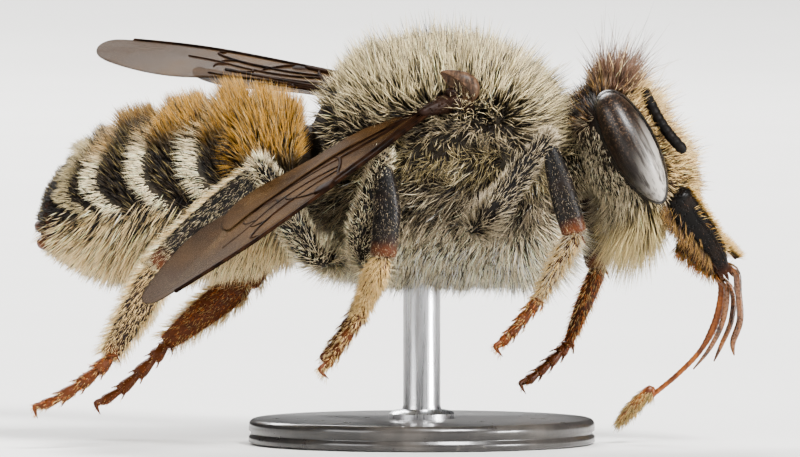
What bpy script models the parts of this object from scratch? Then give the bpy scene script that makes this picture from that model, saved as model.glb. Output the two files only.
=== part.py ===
"""A female leafcutter bee at life size, as a still museum model held on a display stand.

The bee faces +X, with its left side towards +Y, and its legs and tongue hang as in flight. Each solid
reaches out to the tips of the hair on it. Sizes are in millimetres, and MM turns them into metres.
"""

import math

import bmesh
import bpy
from mathutils import Matrix, Vector

MM = 0.001
GAP = 0.06  # free space kept between neighbouring pieces
BODY_SIDES = 24
LIMB_SIDES = 8
END_STEP = 0.35  # how far a limb's rounded end reaches, as a share of its half thickness
END_SHARE = 0.55  # how thick the limb still is there
RIGHT, LEFT = -1, 1
SIDE_NAMES = {RIGHT: "right", LEFT: "left"}

# Trunk cross-sections: how far forward, top, bottom, half width.
THORAX_SECTIONS = (
    (-1.43, 7.90, 3.72, 1.45),
    (-1.20, 8.34, 3.56, 1.95),
    (-0.50, 8.80, 3.42, 2.50),
    (0.66, 9.02, 3.33, 2.72),
    (1.94, 9.02, 3.29, 2.74),
    (2.90, 8.80, 3.25, 2.50),
    (3.50, 8.34, 3.42, 1.95),
    (3.72, 7.90, 3.80, 1.45),
)
THORAX_RINGS = 13
ABDOMEN_SECTIONS = (
    (-1.77, 6.85, 3.95, 1.20),
    (-2.02, 7.45, 3.72, 1.85),
    (-2.55, 7.68, 3.58, 2.20),
    (-3.30, 7.66, 3.46, 2.32),
    (-4.30, 7.40, 3.34, 2.34),
    (-5.42, 7.05, 3.32, 2.18),
    (-6.43, 6.54, 3.50, 1.78),
    (-7.00, 6.04, 3.80, 1.36),
    (-7.28, 5.52, 4.06, 0.96),
    (-7.44, 4.96, 4.28, 0.55),
)
SEGMENT_ENDS = (-1.77, -3.30, -4.30, -5.42, -6.43, -7.00, -7.28, -7.44)
SEGMENT_STEP = 0.05  # how far a segment's hind rim stands above the next segment
SEGMENT_RINGS = 4
FRONT_RINGS = (-1.77, -1.88, -2.02, -2.25, -2.55, -2.95)  # closer rings where the first segment swells
TAN_SEGMENTS = 2  # how many segments from the front carry the tan coat
WAIST_RADIUS = 1.05
WAIST_PINCH = 0.9  # its radius half way along, as a share of the ends

# The head is measured from the middle of the eye: down its face, forward out of it, and to the side.
HEAD_MIDDLE = (5.04, 0.0, 6.32)
HEAD_TILT = math.radians(34.2)  # how far the mouth swings forward
HEAD_SECTIONS = (
    (-2.05, 0.80, 0.15, 0.60),
    (-1.88, 1.10, -0.35, 1.30),
    (-1.40, 1.36, -0.90, 1.98),
    (-0.70, 1.44, -1.25, 2.34),
    (0.00, 1.42, -1.40, 2.40),
    (0.80, 1.34, -1.50, 2.18),
    (1.40, 1.12, -1.55, 1.68),
    (1.76, 0.75, -1.60, 1.15),
    (1.95, 0.05, -1.45, 0.60),
)
HEAD_RINGS = 13
NECK_MIDDLE = (4.00, 0.0, 6.00)  # on the flat back of the head, which leans by the tilt
NECK_TILT = math.radians(8.0)
NECK_RADIUS = 1.05
EYE_SIZE = (0.55, 0.52, 1.42)  # half sizes: outwards, forwards, along the face
EYE_OUT = 1.93
EYE_TOE_IN = math.radians(4.0)

FEELER_RADIUS = 0.25
FEELER = (
    (1.04, 1.30, -1.00),
    (1.27, 1.46, -0.92),
    (1.36, 1.80, -0.46),
    (1.28, 2.12, 0.06),
    (1.14, 2.40, 0.54),
)

MANDIBLE = (
    (0.25, 1.28, 1.30),
    (0.42, 1.12, 1.90),
    (0.50, 0.84, 2.50),
    (0.46, 0.50, 3.15),
    (0.36, 0.36, 3.46),
)
MANDIBLE_HALF_DEPTHS = (0.40, 0.42, 0.38, 0.28, 0.16)
MANDIBLE_HALF_WIDTH = 0.25
LABRUM = ((0.62, 0.0, 1.40), (0.64, 0.0, 2.10), (0.70, 0.0, 2.66), (0.86, 0.0, 3.04))
LABRUM_HALF_DEPTHS = (0.22, 0.20, 0.20, 0.22)
LABRUM_HALF_WIDTHS = (0.62, 0.48, 0.28, 0.22)
MOUTH_BASE = ((-0.55, 0.0, 1.35), (-0.42, 0.0, 2.10), (-0.10, 0.0, 2.80), (0.12, 0.0, 3.20))
MOUTH_BASE_HALF_DEPTHS = (0.36, 0.36, 0.30, 0.24)
MOUTH_BASE_HALF_WIDTHS = (0.62, 0.56, 0.42, 0.30)

# The tongue and the pair of sheaths beside it: forward, side, up.
TONGUE = (
    (6.96, 0.0, 3.34),
    (7.02, 0.0, 2.70),
    (6.78, 0.0, 2.16),
    (6.22, 0.0, 1.52),
    (5.60, 0.0, 1.16),
)
TONGUE_RADII = (0.24, 0.25, 0.25, 0.24, 0.22)
TONGUE_TIP = ((5.53, 0.0, 1.12), (5.28, 0.0, 0.86), (4.96, 0.0, 0.50))
TONGUE_TIP_RADII = (0.20, 0.30, 0.16)
GALEA = ((7.26, 0.34, 3.62), (7.50, 0.34, 3.10), (7.48, 0.33, 2.50), (7.26, 0.32, 2.02))
GALEA_RADII = (0.25, 0.26, 0.25, 0.22)

# Legs, for each pair and side: root, hip, knee, tibia's end, foot's first joint, foot's end, claws.
LEGS = {
    ("front", RIGHT): (
        (1.90, 1.10, 4.10), (1.55, 2.35, 4.30), (3.36, 3.02, 6.58), (3.93, 3.16, 4.58),
        (3.14, 3.10, 3.20), (2.60, 3.02, 2.50), (2.34, 2.98, 2.24),
    ),
    ("front", LEFT): (
        (1.90, 1.10, 4.10), (1.90, 2.35, 4.20), (4.02, 3.06, 5.78), (4.53, 3.16, 3.66),
        (3.86, 3.04, 2.00), (3.30, 2.84, 1.46), (2.92, 2.70, 1.18),
    ),
    ("middle", RIGHT): (
        (0.10, 1.10, 4.10), (-0.62, 2.30, 4.25), (-0.12, 3.06, 6.16), (0.00, 3.16, 4.44),
        (-0.62, 3.12, 2.86), (-1.08, 3.02, 2.14), (-1.38, 2.96, 1.74),
    ),
    ("hind", RIGHT): (
        (-0.80, 1.20, 4.20), (-1.60, 2.20, 4.10), (-2.70, 2.66, 5.98), (-4.89, 2.66, 3.76),
        (-5.92, 2.70, 2.01), (-6.60, 2.66, 1.30), (-7.50, 2.56, 0.88),
    ),
    ("hind", LEFT): (
        (-0.80, 1.20, 4.20), (-1.50, 2.25, 4.10), (-1.56, 2.94, 5.96), (-3.18, 2.90, 3.34),
        (-4.85, 2.84, 2.01), (-5.55, 2.72, 1.20), (-6.32, 2.58, 0.70),
    ),
}
LEGS["middle", LEFT] = LEGS["middle", RIGHT]
LEG_HALF_DEPTHS = {  # thigh, shin and first foot joint, seen from the side
    "front": (0.34, 0.30, 0.27),
    "middle": (0.34, 0.36, 0.30),
    "hind": (0.36, 0.46, 0.42),
}
THIGH_SHARES = (0.90, 1.00, 1.00, 0.85)  # each of these swells from root to end by such shares
SHIN_SHARES = (0.75, 1.00, 0.95)
SOLE_SHARES = (0.85, 1.00, 0.85)
SHIN_THICKEST = 0.60  # how far along it is at its full depth
SOLE_THICKEST = 0.45
LEG_HALF_WIDTH = 0.27
THIGH_HALF_WIDTH = 0.30
FOOT_RADIUS = 0.25
JOINT_GAP = 0.10

WING_HINGE = (1.20, 2.25, 7.38)
WING_LENGTH = 9.3
WING_WIDTH = 2.6
WING_THICKNESS = 0.5
WING_WIDEST = 0.70  # the share of its length at which the wing is widest
WING_ROOT_SHARE = 0.20  # its width at the root, as a share of its widest
WING_TIP_BACK = 0.40  # how far behind the front edge the tip lies, as a share of the width
WING_ROUNDNESS = 2.4
HINDWING_FRONT = 0.58  # where the hindwing meets the forewing, as a share of the width there
HINDWING_SPAN = (0.10, 0.62)  # its root and tip, as shares of the wing's length
HINDWING_BLUNTNESS = 4
HINDWING_LEAST = 0.06  # its width at the very tip
FOREWING_WIDENS = (0.63, 0.67)  # where the forewing takes over the whole width
WING_TIP_WIDTH = 0.02  # the width left at the tip, as a share of the widest
WING_STATIONS = 20
WING_SWEEP = {RIGHT: math.radians(44.8), LEFT: math.radians(46.0)}
WING_LIFT = {RIGHT: math.radians(-26.3), LEFT: math.radians(7.4)}
WING_ROLL = {RIGHT: math.radians(5.0), LEFT: math.radians(8.0)}
TEGULA_MIDDLE = (1.52, 2.30, 7.62)
TEGULA_SIZE = (0.36, 0.42, 0.34)

STAND_FORWARD = 0.70
STAND_RADIUS = 3.7
STAND_HEIGHT = 0.55
STAND_BEVEL = 0.12
ROD_RADIUS = 0.40
ROD_TOP = 4.0

FINISHES = {
    "coat_cream": ((0.62, 0.56, 0.44), 0.90, 0.0),
    "coat_tan": ((0.50, 0.30, 0.12), 0.90, 0.0),
    "coat_banded": ((0.16, 0.13, 0.10), 0.85, 0.0),
    "shell_black": ((0.02, 0.018, 0.018), 0.35, 0.0),
    "shell_red": ((0.25, 0.09, 0.04), 0.40, 0.0),
    "shell_amber": ((0.50, 0.20, 0.06), 0.35, 0.0),
    "eye_grey": ((0.22, 0.21, 0.20), 0.20, 0.0),
    "wing_smoky": ((0.22, 0.14, 0.08), 0.30, 0.0),
    "stand_dark": ((0.05, 0.045, 0.04), 0.30, 0.0),
    "stand_steel": ((0.60, 0.60, 0.62), 0.25, 1.0),
}
SIDEWAYS = Vector((0.0, 1.0, 0.0))


def clear_scene():
    for obj in list(bpy.data.objects):
        bpy.data.objects.remove(obj)


def finish(name):
    """The material of that name, made once."""
    found = bpy.data.materials.get(name)
    if found:
        return found
    colour, roughness, metallic = FINISHES[name]
    made = bpy.data.materials.new(name)
    made.use_nodes = True
    shader = made.node_tree.nodes["Principled BSDF"]
    shader.inputs["Base Color"].default_value = (*colour, 1.0)
    shader.inputs["Roughness"].default_value = roughness
    shader.inputs["Metallic"].default_value = metallic
    return made


def smooth_rows(rows, places):
    """Rows read from the smooth curve through the given ones, at places counted in rows."""
    last = len(rows) - 1
    read = []
    for place in places:
        index = min(int(place), last - 1)
        t = place - index
        a, b, c, d = (rows[max(0, min(last, index + step))] for step in (-1, 0, 1, 2))
        weights = (
            -t + 2 * t**2 - t**3,
            2 - 5 * t**2 + 3 * t**3,
            t + 4 * t**2 - 3 * t**3,
            t**3 - t**2,
        )
        read.append([0.5 * sum(w * v for w, v in zip(weights, values)) for values in zip(a, b, c, d)])
    return read


def evenly(count, last):
    return [last * step / (count - 1) for step in range(count)]


def ring(bm, middle, along, aside, half_wide, half_tall, sides):
    """A closed oval of edges across a direction."""
    along = along.normalized()
    tall = along.cross(aside).normalized()
    wide = tall.cross(along)
    place = Matrix((wide * half_wide, tall * half_tall, along)).transposed().to_4x4()
    place.translation = middle
    verts = bmesh.ops.create_circle(bm, segments=sides, radius=1.0, matrix=place)["verts"]
    return list({edge for vert in verts for edge in vert.link_edges})


def add_piece(name, bm, finish_name, turn=None):
    """Closes a mesh, scales it to metres and puts it in the scene."""
    bmesh.ops.holes_fill(bm, edges=[edge for edge in bm.edges if edge.is_boundary])
    bmesh.ops.recalc_face_normals(bm, faces=bm.faces)
    if turn:
        bmesh.ops.transform(bm, matrix=turn, verts=bm.verts)
    bmesh.ops.scale(bm, vec=(MM, MM, MM), verts=bm.verts)
    mesh = bpy.data.meshes.new(name)
    bm.to_mesh(mesh)
    bm.free()
    mesh.shade_smooth()
    mesh.materials.append(finish(finish_name))
    piece = bpy.data.objects.new(name, mesh)
    bpy.context.scene.collection.objects.link(piece)
    return piece


def loft(name, sections, finish_name, sides=LIMB_SIDES, turn=None):
    """A closed body through oval sections: middle, direction, half width and half height of each."""
    bm = bmesh.new()
    rings = [
        ring(bm, Vector(middle), Vector(along), SIDEWAYS, wide, tall, sides)
        for middle, along, wide, tall in sections
    ]
    for near, far in zip(rings, rings[1:]):
        bmesh.ops.bridge_loops(bm, edges=near + far)
    return add_piece(name, bm, finish_name, turn)


def limb(name, points, wides, talls, finish_name, turn=None):
    """A round-ended tube through points, its half width and half height given at each."""
    rows = [(*point, wide, tall) for point, wide, tall in zip(points, wides, talls)]
    count = 2 * len(rows) - 1
    rows = smooth_rows(rows, evenly(count, len(rows) - 1))
    middles = [Vector(row[:3]) for row in rows]
    sections = []
    for index, (middle, row) in enumerate(zip(middles, rows)):
        along = middles[min(index + 1, count - 1)] - middles[max(index - 1, 0)]
        sections.append((middle, along, row[3], row[4]))
    first, last = sections[0], sections[-1]
    before = first[0] - first[1].normalized() * END_STEP * min(first[2], first[3])
    after = last[0] + last[1].normalized() * END_STEP * min(last[2], last[3])
    sections.insert(0, (before, first[1], first[2] * END_SHARE, first[3] * END_SHARE))
    sections.append((after, last[1], last[2] * END_SHARE, last[3] * END_SHARE))
    return loft(name, sections, finish_name, turn=turn)


def ball(name, middle, half_sizes, finish_name, turn=None, sides=14):
    """An egg shape with the given half sizes."""
    bm = bmesh.new()
    bmesh.ops.create_uvsphere(bm, u_segments=sides, v_segments=sides * 2 // 3, radius=1.0)
    bmesh.ops.scale(bm, vec=half_sizes, verts=bm.verts)
    spin = turn or Matrix.Identity(4)
    bmesh.ops.transform(bm, matrix=Matrix.Translation(middle) @ spin, verts=bm.verts)
    return add_piece(name, bm, finish_name)


def cutter_of(piece, room=GAP):
    """A hidden copy of a piece, grown by the room that its neighbours keep to it."""
    bm = bmesh.new()
    bm.from_mesh(piece.data)
    bm.normal_update()
    for vert in bm.verts:
        vert.co += vert.normal * room * MM
    mesh = bpy.data.meshes.new(piece.name + "_cutter")
    bm.to_mesh(mesh)
    bm.free()
    cutter = bpy.data.objects.new(mesh.name, mesh)
    cutter.hide_render = True
    cutter.display_type = "WIRE"
    bpy.context.scene.collection.objects.link(cutter)
    return cutter


def cut_by(pieces, cutter):
    for piece in pieces:
        cut = piece.modifiers.new("clear_of_" + cutter.name, "BOOLEAN")
        cut.operation = "DIFFERENCE"
        cut.solver = "EXACT"
        cut.object = cutter


def mirrored(points, side):
    return [(x, side * y, z) for x, y, z in points]


def trunk_sections(rows):
    """Upright sections across the trunk from rows of forward, top, bottom and half width."""
    return [
        ((x, 0.0, (top + bottom) / 2), (1.0, 0.0, 0.0), wide, (top - bottom) / 2)
        for x, top, bottom, wide in rows
    ]


def make_thorax():
    rows = smooth_rows(THORAX_SECTIONS, evenly(THORAX_RINGS, len(THORAX_SECTIONS) - 1))
    return loft("thorax", trunk_sections(rows), "coat_cream", BODY_SIDES)


def abdomen_row(forward):
    """The abdomen's section at a place along it."""
    xs = [row[0] for row in ABDOMEN_SECTIONS]
    index = max(i for i in range(len(xs) - 1) if xs[i] >= forward - 1e-9)
    share = (xs[index] - forward) / (xs[index] - xs[index + 1])
    return [forward, *smooth_rows(ABDOMEN_SECTIONS, [index + share])[0][1:]]


def make_abdomen():
    """Seven solids, each with a rim that stands a little above the one behind it."""
    last = len(SEGMENT_ENDS) - 2
    for index, (front, back) in enumerate(zip(SEGMENT_ENDS, SEGMENT_ENDS[1:])):
        start = front - (GAP if index else 0.0)
        rows = []
        for step in evenly(SEGMENT_RINGS, 1.0):
            x, top, bottom, wide = abdomen_row(start + (back - start) * step)
            rise = SEGMENT_STEP * step
            rows.append((x, top + rise, bottom - rise * 0.5, wide + rise))
        if index == 0:
            rows = [abdomen_row(x) for x in FRONT_RINGS] + rows[-1:]
        name = "abdomen_tip" if index == last else f"abdomen_{index + 1}"
        tone = "coat_tan" if index < TAN_SEGMENTS else "coat_banded"
        loft(name, trunk_sections(rows), tone, BODY_SIDES)
    front_end, thorax_end = ABDOMEN_SECTIONS[0][0] + GAP, THORAX_SECTIONS[0][0] - GAP
    height = (ABDOMEN_SECTIONS[0][1] + ABDOMEN_SECTIONS[0][2]) / 2
    middle = (front_end + thorax_end) / 2
    pinched = WAIST_RADIUS * WAIST_PINCH
    rows = ((front_end, WAIST_RADIUS), (middle, pinched), (thorax_end, WAIST_RADIUS))
    sections = [((x, 0.0, height), (1.0, 0.0, 0.0), radius, radius) for x, radius in rows]
    loft("waist", sections, "shell_black", BODY_SIDES)


def head_place():
    """From head measures (forward out of the face, side, up the face) to the body's."""
    return Matrix.Translation(HEAD_MIDDLE) @ Matrix.Rotation(-HEAD_TILT, 4, "Y")


def on_head(points, side=1):
    """Points given as forward out of the face, aside and down the face, on the body's axes."""
    place = head_place()
    return [tuple(place @ Vector((front, side * aside, -down))) for front, aside, down in points]


def neck_facing():
    return Vector((math.cos(NECK_TILT), 0.0, math.sin(NECK_TILT)))


def make_head():
    """The head with its face, chin and cheek hair, cut flat behind where the neck meets it."""
    rows = smooth_rows(HEAD_SECTIONS, evenly(HEAD_RINGS, len(HEAD_SECTIONS) - 1))
    sections = [
        (((front + back) / 2, 0.0, -down), (0.0, 0.0, -1.0), wide, (front - back) / 2)
        for down, front, back, wide in rows
    ]
    head = loft("head", sections, "coat_cream", BODY_SIDES, head_place())
    bm = bmesh.new()
    bm.from_mesh(head.data)
    bmesh.ops.bisect_plane(
        bm, geom=bm.verts[:] + bm.edges[:] + bm.faces[:], dist=1e-7, clear_inner=True,
        plane_co=Vector(NECK_MIDDLE) * MM, plane_no=neck_facing(),
    )
    bmesh.ops.holes_fill(bm, edges=[edge for edge in bm.edges if edge.is_boundary])
    bmesh.ops.recalc_face_normals(bm, faces=bm.faces)
    bm.to_mesh(head.data)
    bm.free()
    return head


def make_eye(side):
    toe = Matrix.Rotation(side * EYE_TOE_IN, 4, "X")
    turn = Matrix.Rotation(-HEAD_TILT, 4, "Y") @ toe
    (middle,) = on_head([(0.0, EYE_OUT, 0.0)], side)
    out, front, along = EYE_SIZE
    return ball("eye_" + SIDE_NAMES[side], middle, (front, out, along), "eye_grey", turn)


def make_neck():
    """A short collar from the upright front of the thorax to the sloping back of the head."""
    start = Vector((THORAX_SECTIONS[-1][0] + GAP, 0.0, NECK_MIDDLE[2]))
    end = Vector(NECK_MIDDLE) - neck_facing() * GAP
    sections = [
        (start, (1.0, 0.0, 0.0), NECK_RADIUS, NECK_RADIUS),
        (end, neck_facing(), NECK_RADIUS, NECK_RADIUS),
    ]
    return loft("neck", sections, "coat_cream", BODY_SIDES)


def make_feeler(side):
    """An antenna past its elbow. The coat of the face holds its first joint."""
    radii = [FEELER_RADIUS] * len(FEELER)
    return limb("antenna_" + SIDE_NAMES[side], on_head(FEELER, side), radii, radii, "shell_black")


def make_mouth():
    """Jaws, upper lip, the fringed base of the tongue, and the tongue between its two sheaths."""
    pieces = []
    for side, side_name in SIDE_NAMES.items():
        points, wides = on_head(MANDIBLE, side), [MANDIBLE_HALF_WIDTH] * len(MANDIBLE)
        pieces.append(
            limb("mandible_" + side_name, points, wides, MANDIBLE_HALF_DEPTHS, "shell_black")
        )
        points = mirrored(GALEA, side)
        limb("galea_" + side_name, points, GALEA_RADII, GALEA_RADII, "shell_amber")
    wides, talls = LABRUM_HALF_WIDTHS, LABRUM_HALF_DEPTHS
    pieces.append(limb("labrum", on_head(LABRUM), wides, talls, "shell_black"))
    wides, talls = MOUTH_BASE_HALF_WIDTHS, MOUTH_BASE_HALF_DEPTHS
    pieces.append(limb("mouthparts_base", on_head(MOUTH_BASE), wides, talls, "shell_amber"))
    limb("tongue", TONGUE, TONGUE_RADII, TONGUE_RADII, "shell_amber")
    limb("tongue_tip", TONGUE_TIP, TONGUE_TIP_RADII, TONGUE_TIP_RADII, "coat_tan")
    return pieces


def shortened(start, end, room):
    """The stretch between two points, pulled in at both ends."""
    start, end = Vector(start), Vector(end)
    step = (end - start).normalized() * room
    return start + step, end - step


def knee_room(back, down, thigh, shin):
    """How far short of the knee the thigh ends, so that it meets the side of the shin."""
    fold = back.angle(down)
    across_shin, across_thigh = shin * SHIN_SHARES[0], thigh * THIGH_SHARES[-1]
    reach = (across_shin + across_thigh * abs(math.cos(fold))) / math.sin(fold)
    return reach + END_STEP * LEG_HALF_WIDTH + JOINT_GAP


def make_leg(pair, side):
    """Four solids: hip and thigh, shin, first foot joint, and the rest of the foot with its claws."""
    places = [Vector(point) for point in mirrored(LEGS[pair, side], side)]
    root, hip, knee, ankle, first, foot, claws = places
    thigh, shin, sole = LEG_HALF_DEPTHS[pair]
    name = f"leg_{pair}_{SIDE_NAMES[side]}_"
    bend = knee + (hip - knee).normalized() * knee_room(hip - knee, ankle - knee, thigh, shin)
    points = (root, hip, (hip + bend) / 2, bend)
    talls = [thigh * share for share in THIGH_SHARES]
    femur = limb(name + "femur", points, [THIGH_HALF_WIDTH] * 4, talls, "shell_black")
    end = shortened(knee, ankle, JOINT_GAP)[1]
    points = (knee, knee.lerp(end, SHIN_THICKEST), end)
    talls = [shin * share for share in SHIN_SHARES]
    limb(name + "tibia", points, [LEG_HALF_WIDTH] * 3, talls, "shell_black")
    start, end = shortened(ankle, first, JOINT_GAP)
    points = (start, start.lerp(end, SOLE_THICKEST), end)
    talls = [sole * share for share in SOLE_SHARES]
    limb(name + "basitarsus", points, [FOOT_RADIUS] * 3, talls, "shell_red")
    start = first + (foot - first).normalized() * JOINT_GAP
    radii = [FOOT_RADIUS] * 3
    limb(name + "tarsus", (start, foot, claws), radii, radii, "shell_red")
    return femur


def wing_axes(side):
    """A wing's directions: out along it, across towards its leading edge, and out of its face."""
    sweep, lift, roll = WING_SWEEP[side], WING_LIFT[side], WING_ROLL[side]
    level = Vector((math.cos(sweep), side * math.sin(sweep), 0.0))
    outward = Vector((-math.sin(sweep), side * math.cos(sweep), 0.0))
    along = outward * math.cos(lift) + Vector((0.0, 0.0, math.sin(lift)))
    rise = level.cross(along) * side
    across = level * math.cos(roll) + rise * math.sin(roll)
    return along, across, along.cross(across)


def wing_edges(share):
    """How far behind its front line the joined wings start and end, at a share of their length."""
    if share < WING_WIDEST:
        grown = math.sin(math.pi / 2 * share / WING_WIDEST)
        return 0.0, WING_WIDTH * (WING_ROOT_SHARE + (1 - WING_ROOT_SHARE) * grown)
    past = (share - WING_WIDEST) / (1 - WING_WIDEST)
    rounded = math.sqrt(max(0.0, 1 - past**WING_ROUNDNESS))
    front = WING_TIP_BACK * (1 - rounded)
    back = WING_TIP_BACK + (1 - WING_TIP_BACK) * rounded
    return WING_WIDTH * front, WING_WIDTH * max(back, front + WING_TIP_WIDTH)


def forewing_edges(share):
    """The forewing gives way to the hindwing along the inner part of its hind edge."""
    front, back = wing_edges(share)
    start, end = FOREWING_WIDENS
    past = min(1.0, max(0.0, (share - start) / (end - start)))
    return front, back * (HINDWING_FRONT + (1 - HINDWING_FRONT) * past)


def hindwing_edges(share):
    """The hindwing fills what the forewing leaves, and narrows to its tip."""
    back = wing_edges(share)[1]
    meeting = HINDWING_FRONT * back + GAP
    part = (share - HINDWING_SPAN[0]) / (HINDWING_SPAN[1] - HINDWING_SPAN[0])
    taper = math.sqrt(max(0.0, 1 - max(0.0, part) ** HINDWING_BLUNTNESS))
    return meeting, meeting + max((back - meeting) * taper, HINDWING_LEAST)


def make_blade(name, side, edges, first, last):
    """A flat blade with a point on each edge at every station, filled and given its thickness.

    The stations crowd together towards a rounded tip at the wing's very end.
    """
    along, across, out = wing_axes(side)
    root = Vector(mirrored([WING_HINGE], side)[0])
    bm = bmesh.new()
    lead, trail = [], []
    for step in evenly(WING_STATIONS, 1.0):
        eased = step * (2 - step) if last == 1.0 else step
        share = first + (last - first) * eased
        front, back = edges(share)
        spot = root + along * WING_LENGTH * share
        lead.append(bm.verts.new(spot - across * front))
        trail.append(bm.verts.new(spot - across * back))
    bm.faces.new(lead + trail[::-1])
    made = bmesh.ops.extrude_face_region(bm, geom=bm.faces[:])["geom"]
    lifted = [item for item in made if isinstance(item, bmesh.types.BMVert)]
    bmesh.ops.translate(bm, verts=lifted, vec=out * WING_THICKNESS)
    bmesh.ops.translate(bm, verts=bm.verts, vec=-out * WING_THICKNESS / 2)
    return add_piece(name, bm, "wing_smoky")


def make_wings(side):
    side_name = SIDE_NAMES[side]
    fore = make_blade("forewing_" + side_name, side, forewing_edges, 0.0, 1.0)
    hind = make_blade("hindwing_" + side_name, side, hindwing_edges, *HINDWING_SPAN)
    middle = mirrored([TEGULA_MIDDLE], side)[0]
    tegula = ball("tegula_" + side_name, middle, TEGULA_SIZE, "shell_amber", sides=10)
    return fore, hind, tegula


def make_stand():
    bm = bmesh.new()
    place = Matrix.Translation((STAND_FORWARD, 0.0, STAND_HEIGHT / 2))
    radius = STAND_RADIUS
    bmesh.ops.create_cone(
        bm, cap_ends=True, segments=48, radius1=radius, radius2=radius, depth=STAND_HEIGHT, matrix=place,
    )
    top = STAND_HEIGHT * 0.99
    rim = [edge for edge in bm.edges if all(vert.co.z > top for vert in edge.verts)]
    bmesh.ops.bevel(
        bm, geom=rim, offset=STAND_BEVEL, segments=2, profile=0.5, affect="EDGES", material=-1,
    )
    add_piece("stand_base", bm, "stand_dark")
    foot, top = (STAND_FORWARD, 0.0, STAND_HEIGHT + GAP), (STAND_FORWARD, 0.0, ROD_TOP)
    sections = [(point, (0.0, 0.0, 1.0), ROD_RADIUS, ROD_RADIUS) for point in (foot, top)]
    return loft("stand_rod", sections, "stand_steel", 20)


def centre_over_origin():
    """Slides the whole model level, until the middle of its box stands over the origin."""
    nodes = [obj for obj in bpy.data.objects if obj.type == "MESH" and not obj.hide_render]
    spots = [vert.co for obj in nodes for vert in obj.data.vertices]
    step = Vector((0.0, 0.0, 0.0))
    for axis in (0, 1):
        values = [spot[axis] for spot in spots]
        step[axis] = -(min(values) + max(values)) / 2
    for obj in bpy.data.objects:
        obj.data.transform(Matrix.Translation(step))


def main():
    clear_scene()
    thorax = make_thorax()
    make_abdomen()
    head = make_head()
    on_thorax = [make_stand()]
    on_face = []
    for side in (RIGHT, LEFT):
        eye = make_eye(side)
        cut_by([head], cutter_of(eye))
        on_face.append(make_feeler(side))
        on_thorax += make_wings(side)
        on_thorax += [make_leg(pair, side) for pair in ("front", "middle", "hind")]
    on_face += make_mouth()
    make_neck()
    cut_by(on_thorax, cutter_of(thorax))
    cut_by(on_face, cutter_of(head))
    centre_over_origin()


main()
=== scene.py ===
"""A female leafcutter bee at life size, in flight over a round display stand.

The body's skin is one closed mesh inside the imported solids. The coat stands on it as fine tapered
strands, and the eyes, wings, legs and mouthparts are pieces of their own. Unless a name says
otherwise, sizes are in millimetres, measured forward, left and up from a point on the floor under
the bee's waist.
"""

import math
from types import SimpleNamespace

import bmesh
import bpy
import numpy as np
from mathutils import Matrix, Vector
from mathutils.kdtree import KDTree


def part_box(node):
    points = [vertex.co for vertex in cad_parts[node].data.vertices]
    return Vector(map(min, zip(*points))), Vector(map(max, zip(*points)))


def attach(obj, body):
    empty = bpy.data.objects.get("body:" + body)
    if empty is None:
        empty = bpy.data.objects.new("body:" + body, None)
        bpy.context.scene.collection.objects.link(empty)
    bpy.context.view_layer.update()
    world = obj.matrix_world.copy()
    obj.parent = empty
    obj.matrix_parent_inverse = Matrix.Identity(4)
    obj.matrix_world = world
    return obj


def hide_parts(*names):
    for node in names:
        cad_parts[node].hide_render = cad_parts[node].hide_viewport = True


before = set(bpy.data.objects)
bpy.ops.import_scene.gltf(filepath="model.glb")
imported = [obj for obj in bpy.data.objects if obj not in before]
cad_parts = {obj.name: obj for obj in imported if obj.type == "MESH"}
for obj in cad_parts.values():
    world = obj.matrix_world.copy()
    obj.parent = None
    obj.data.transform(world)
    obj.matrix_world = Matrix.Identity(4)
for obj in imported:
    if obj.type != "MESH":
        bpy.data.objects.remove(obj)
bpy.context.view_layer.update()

MM = 0.001
RIGHT, LEFT = -1, 1
SIDE_NAMES = {RIGHT: "right", LEFT: "left"}
ROD_FORWARD = 0.70  # how far forward the stand's rod stands

ROD_LOW, ROD_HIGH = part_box("stand_rod")
ZERO = Vector(((ROD_LOW.x + ROD_HIGH.x) / 2 - ROD_FORWARD * MM, (ROD_LOW.y + ROD_HIGH.y) / 2, 0.0))
TO_WORLD = Matrix.Translation(ZERO) @ Matrix.Scale(MM, 4)
SIDEWAYS = Vector((0.0, 1.0, 0.0))
UPWARDS = Vector((0.0, 0.0, 1.0))


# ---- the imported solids, read as places


def node_points(node):
    """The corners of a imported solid, in millimetres."""
    return (np.array([vert.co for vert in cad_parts[node].data.vertices]) - np.array(ZERO)) / MM


def node_box(node):
    """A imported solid's low and high corner, in millimetres."""
    return [(corner - ZERO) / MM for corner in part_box(node)]


def node_middle(node):
    low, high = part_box(node)
    return ((low + high) / 2 - ZERO) / MM


def cut_through(node, point, direction):
    """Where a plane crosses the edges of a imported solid."""
    spots = node_points(node)
    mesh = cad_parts[node].data
    ends = np.array([edge.vertices[:] for edge in mesh.edges])
    off = (spots - np.array(point)) @ np.array(direction)
    ends = ends[off[ends[:, 0]] * off[ends[:, 1]] < 0]
    near, far = off[ends[:, 0]], off[ends[:, 1]]
    share = (near / (near - far))[:, None]
    return spots[ends[:, 0]] * (1 - share) + spots[ends[:, 1]] * share


def long_axis(node):
    """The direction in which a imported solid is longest."""
    spots = np.unique(node_points(node).round(4), axis=0)
    return np.linalg.svd(spots - spots.mean(0))[2][0]


def spine(node, shares, start_near):
    """Points along the middle of a long solid, its start being the end nearer to a given point."""
    spots, axis = node_points(node), long_axis(node)
    off = spots @ axis
    low, high = spots[off.argmin()], spots[off.argmax()]
    if np.linalg.norm(high - np.array(start_near)) < np.linalg.norm(low - np.array(start_near)):
        axis, off = -axis, -off
    found = []
    for share in np.clip(shares, 0.01, 0.99):
        level = off.min() + (off.max() - off.min()) * share
        crossing = cut_through(node, axis * level, axis)
        found.append(Vector((crossing.min(0) + crossing.max(0)) / 2))
    return found


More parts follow.
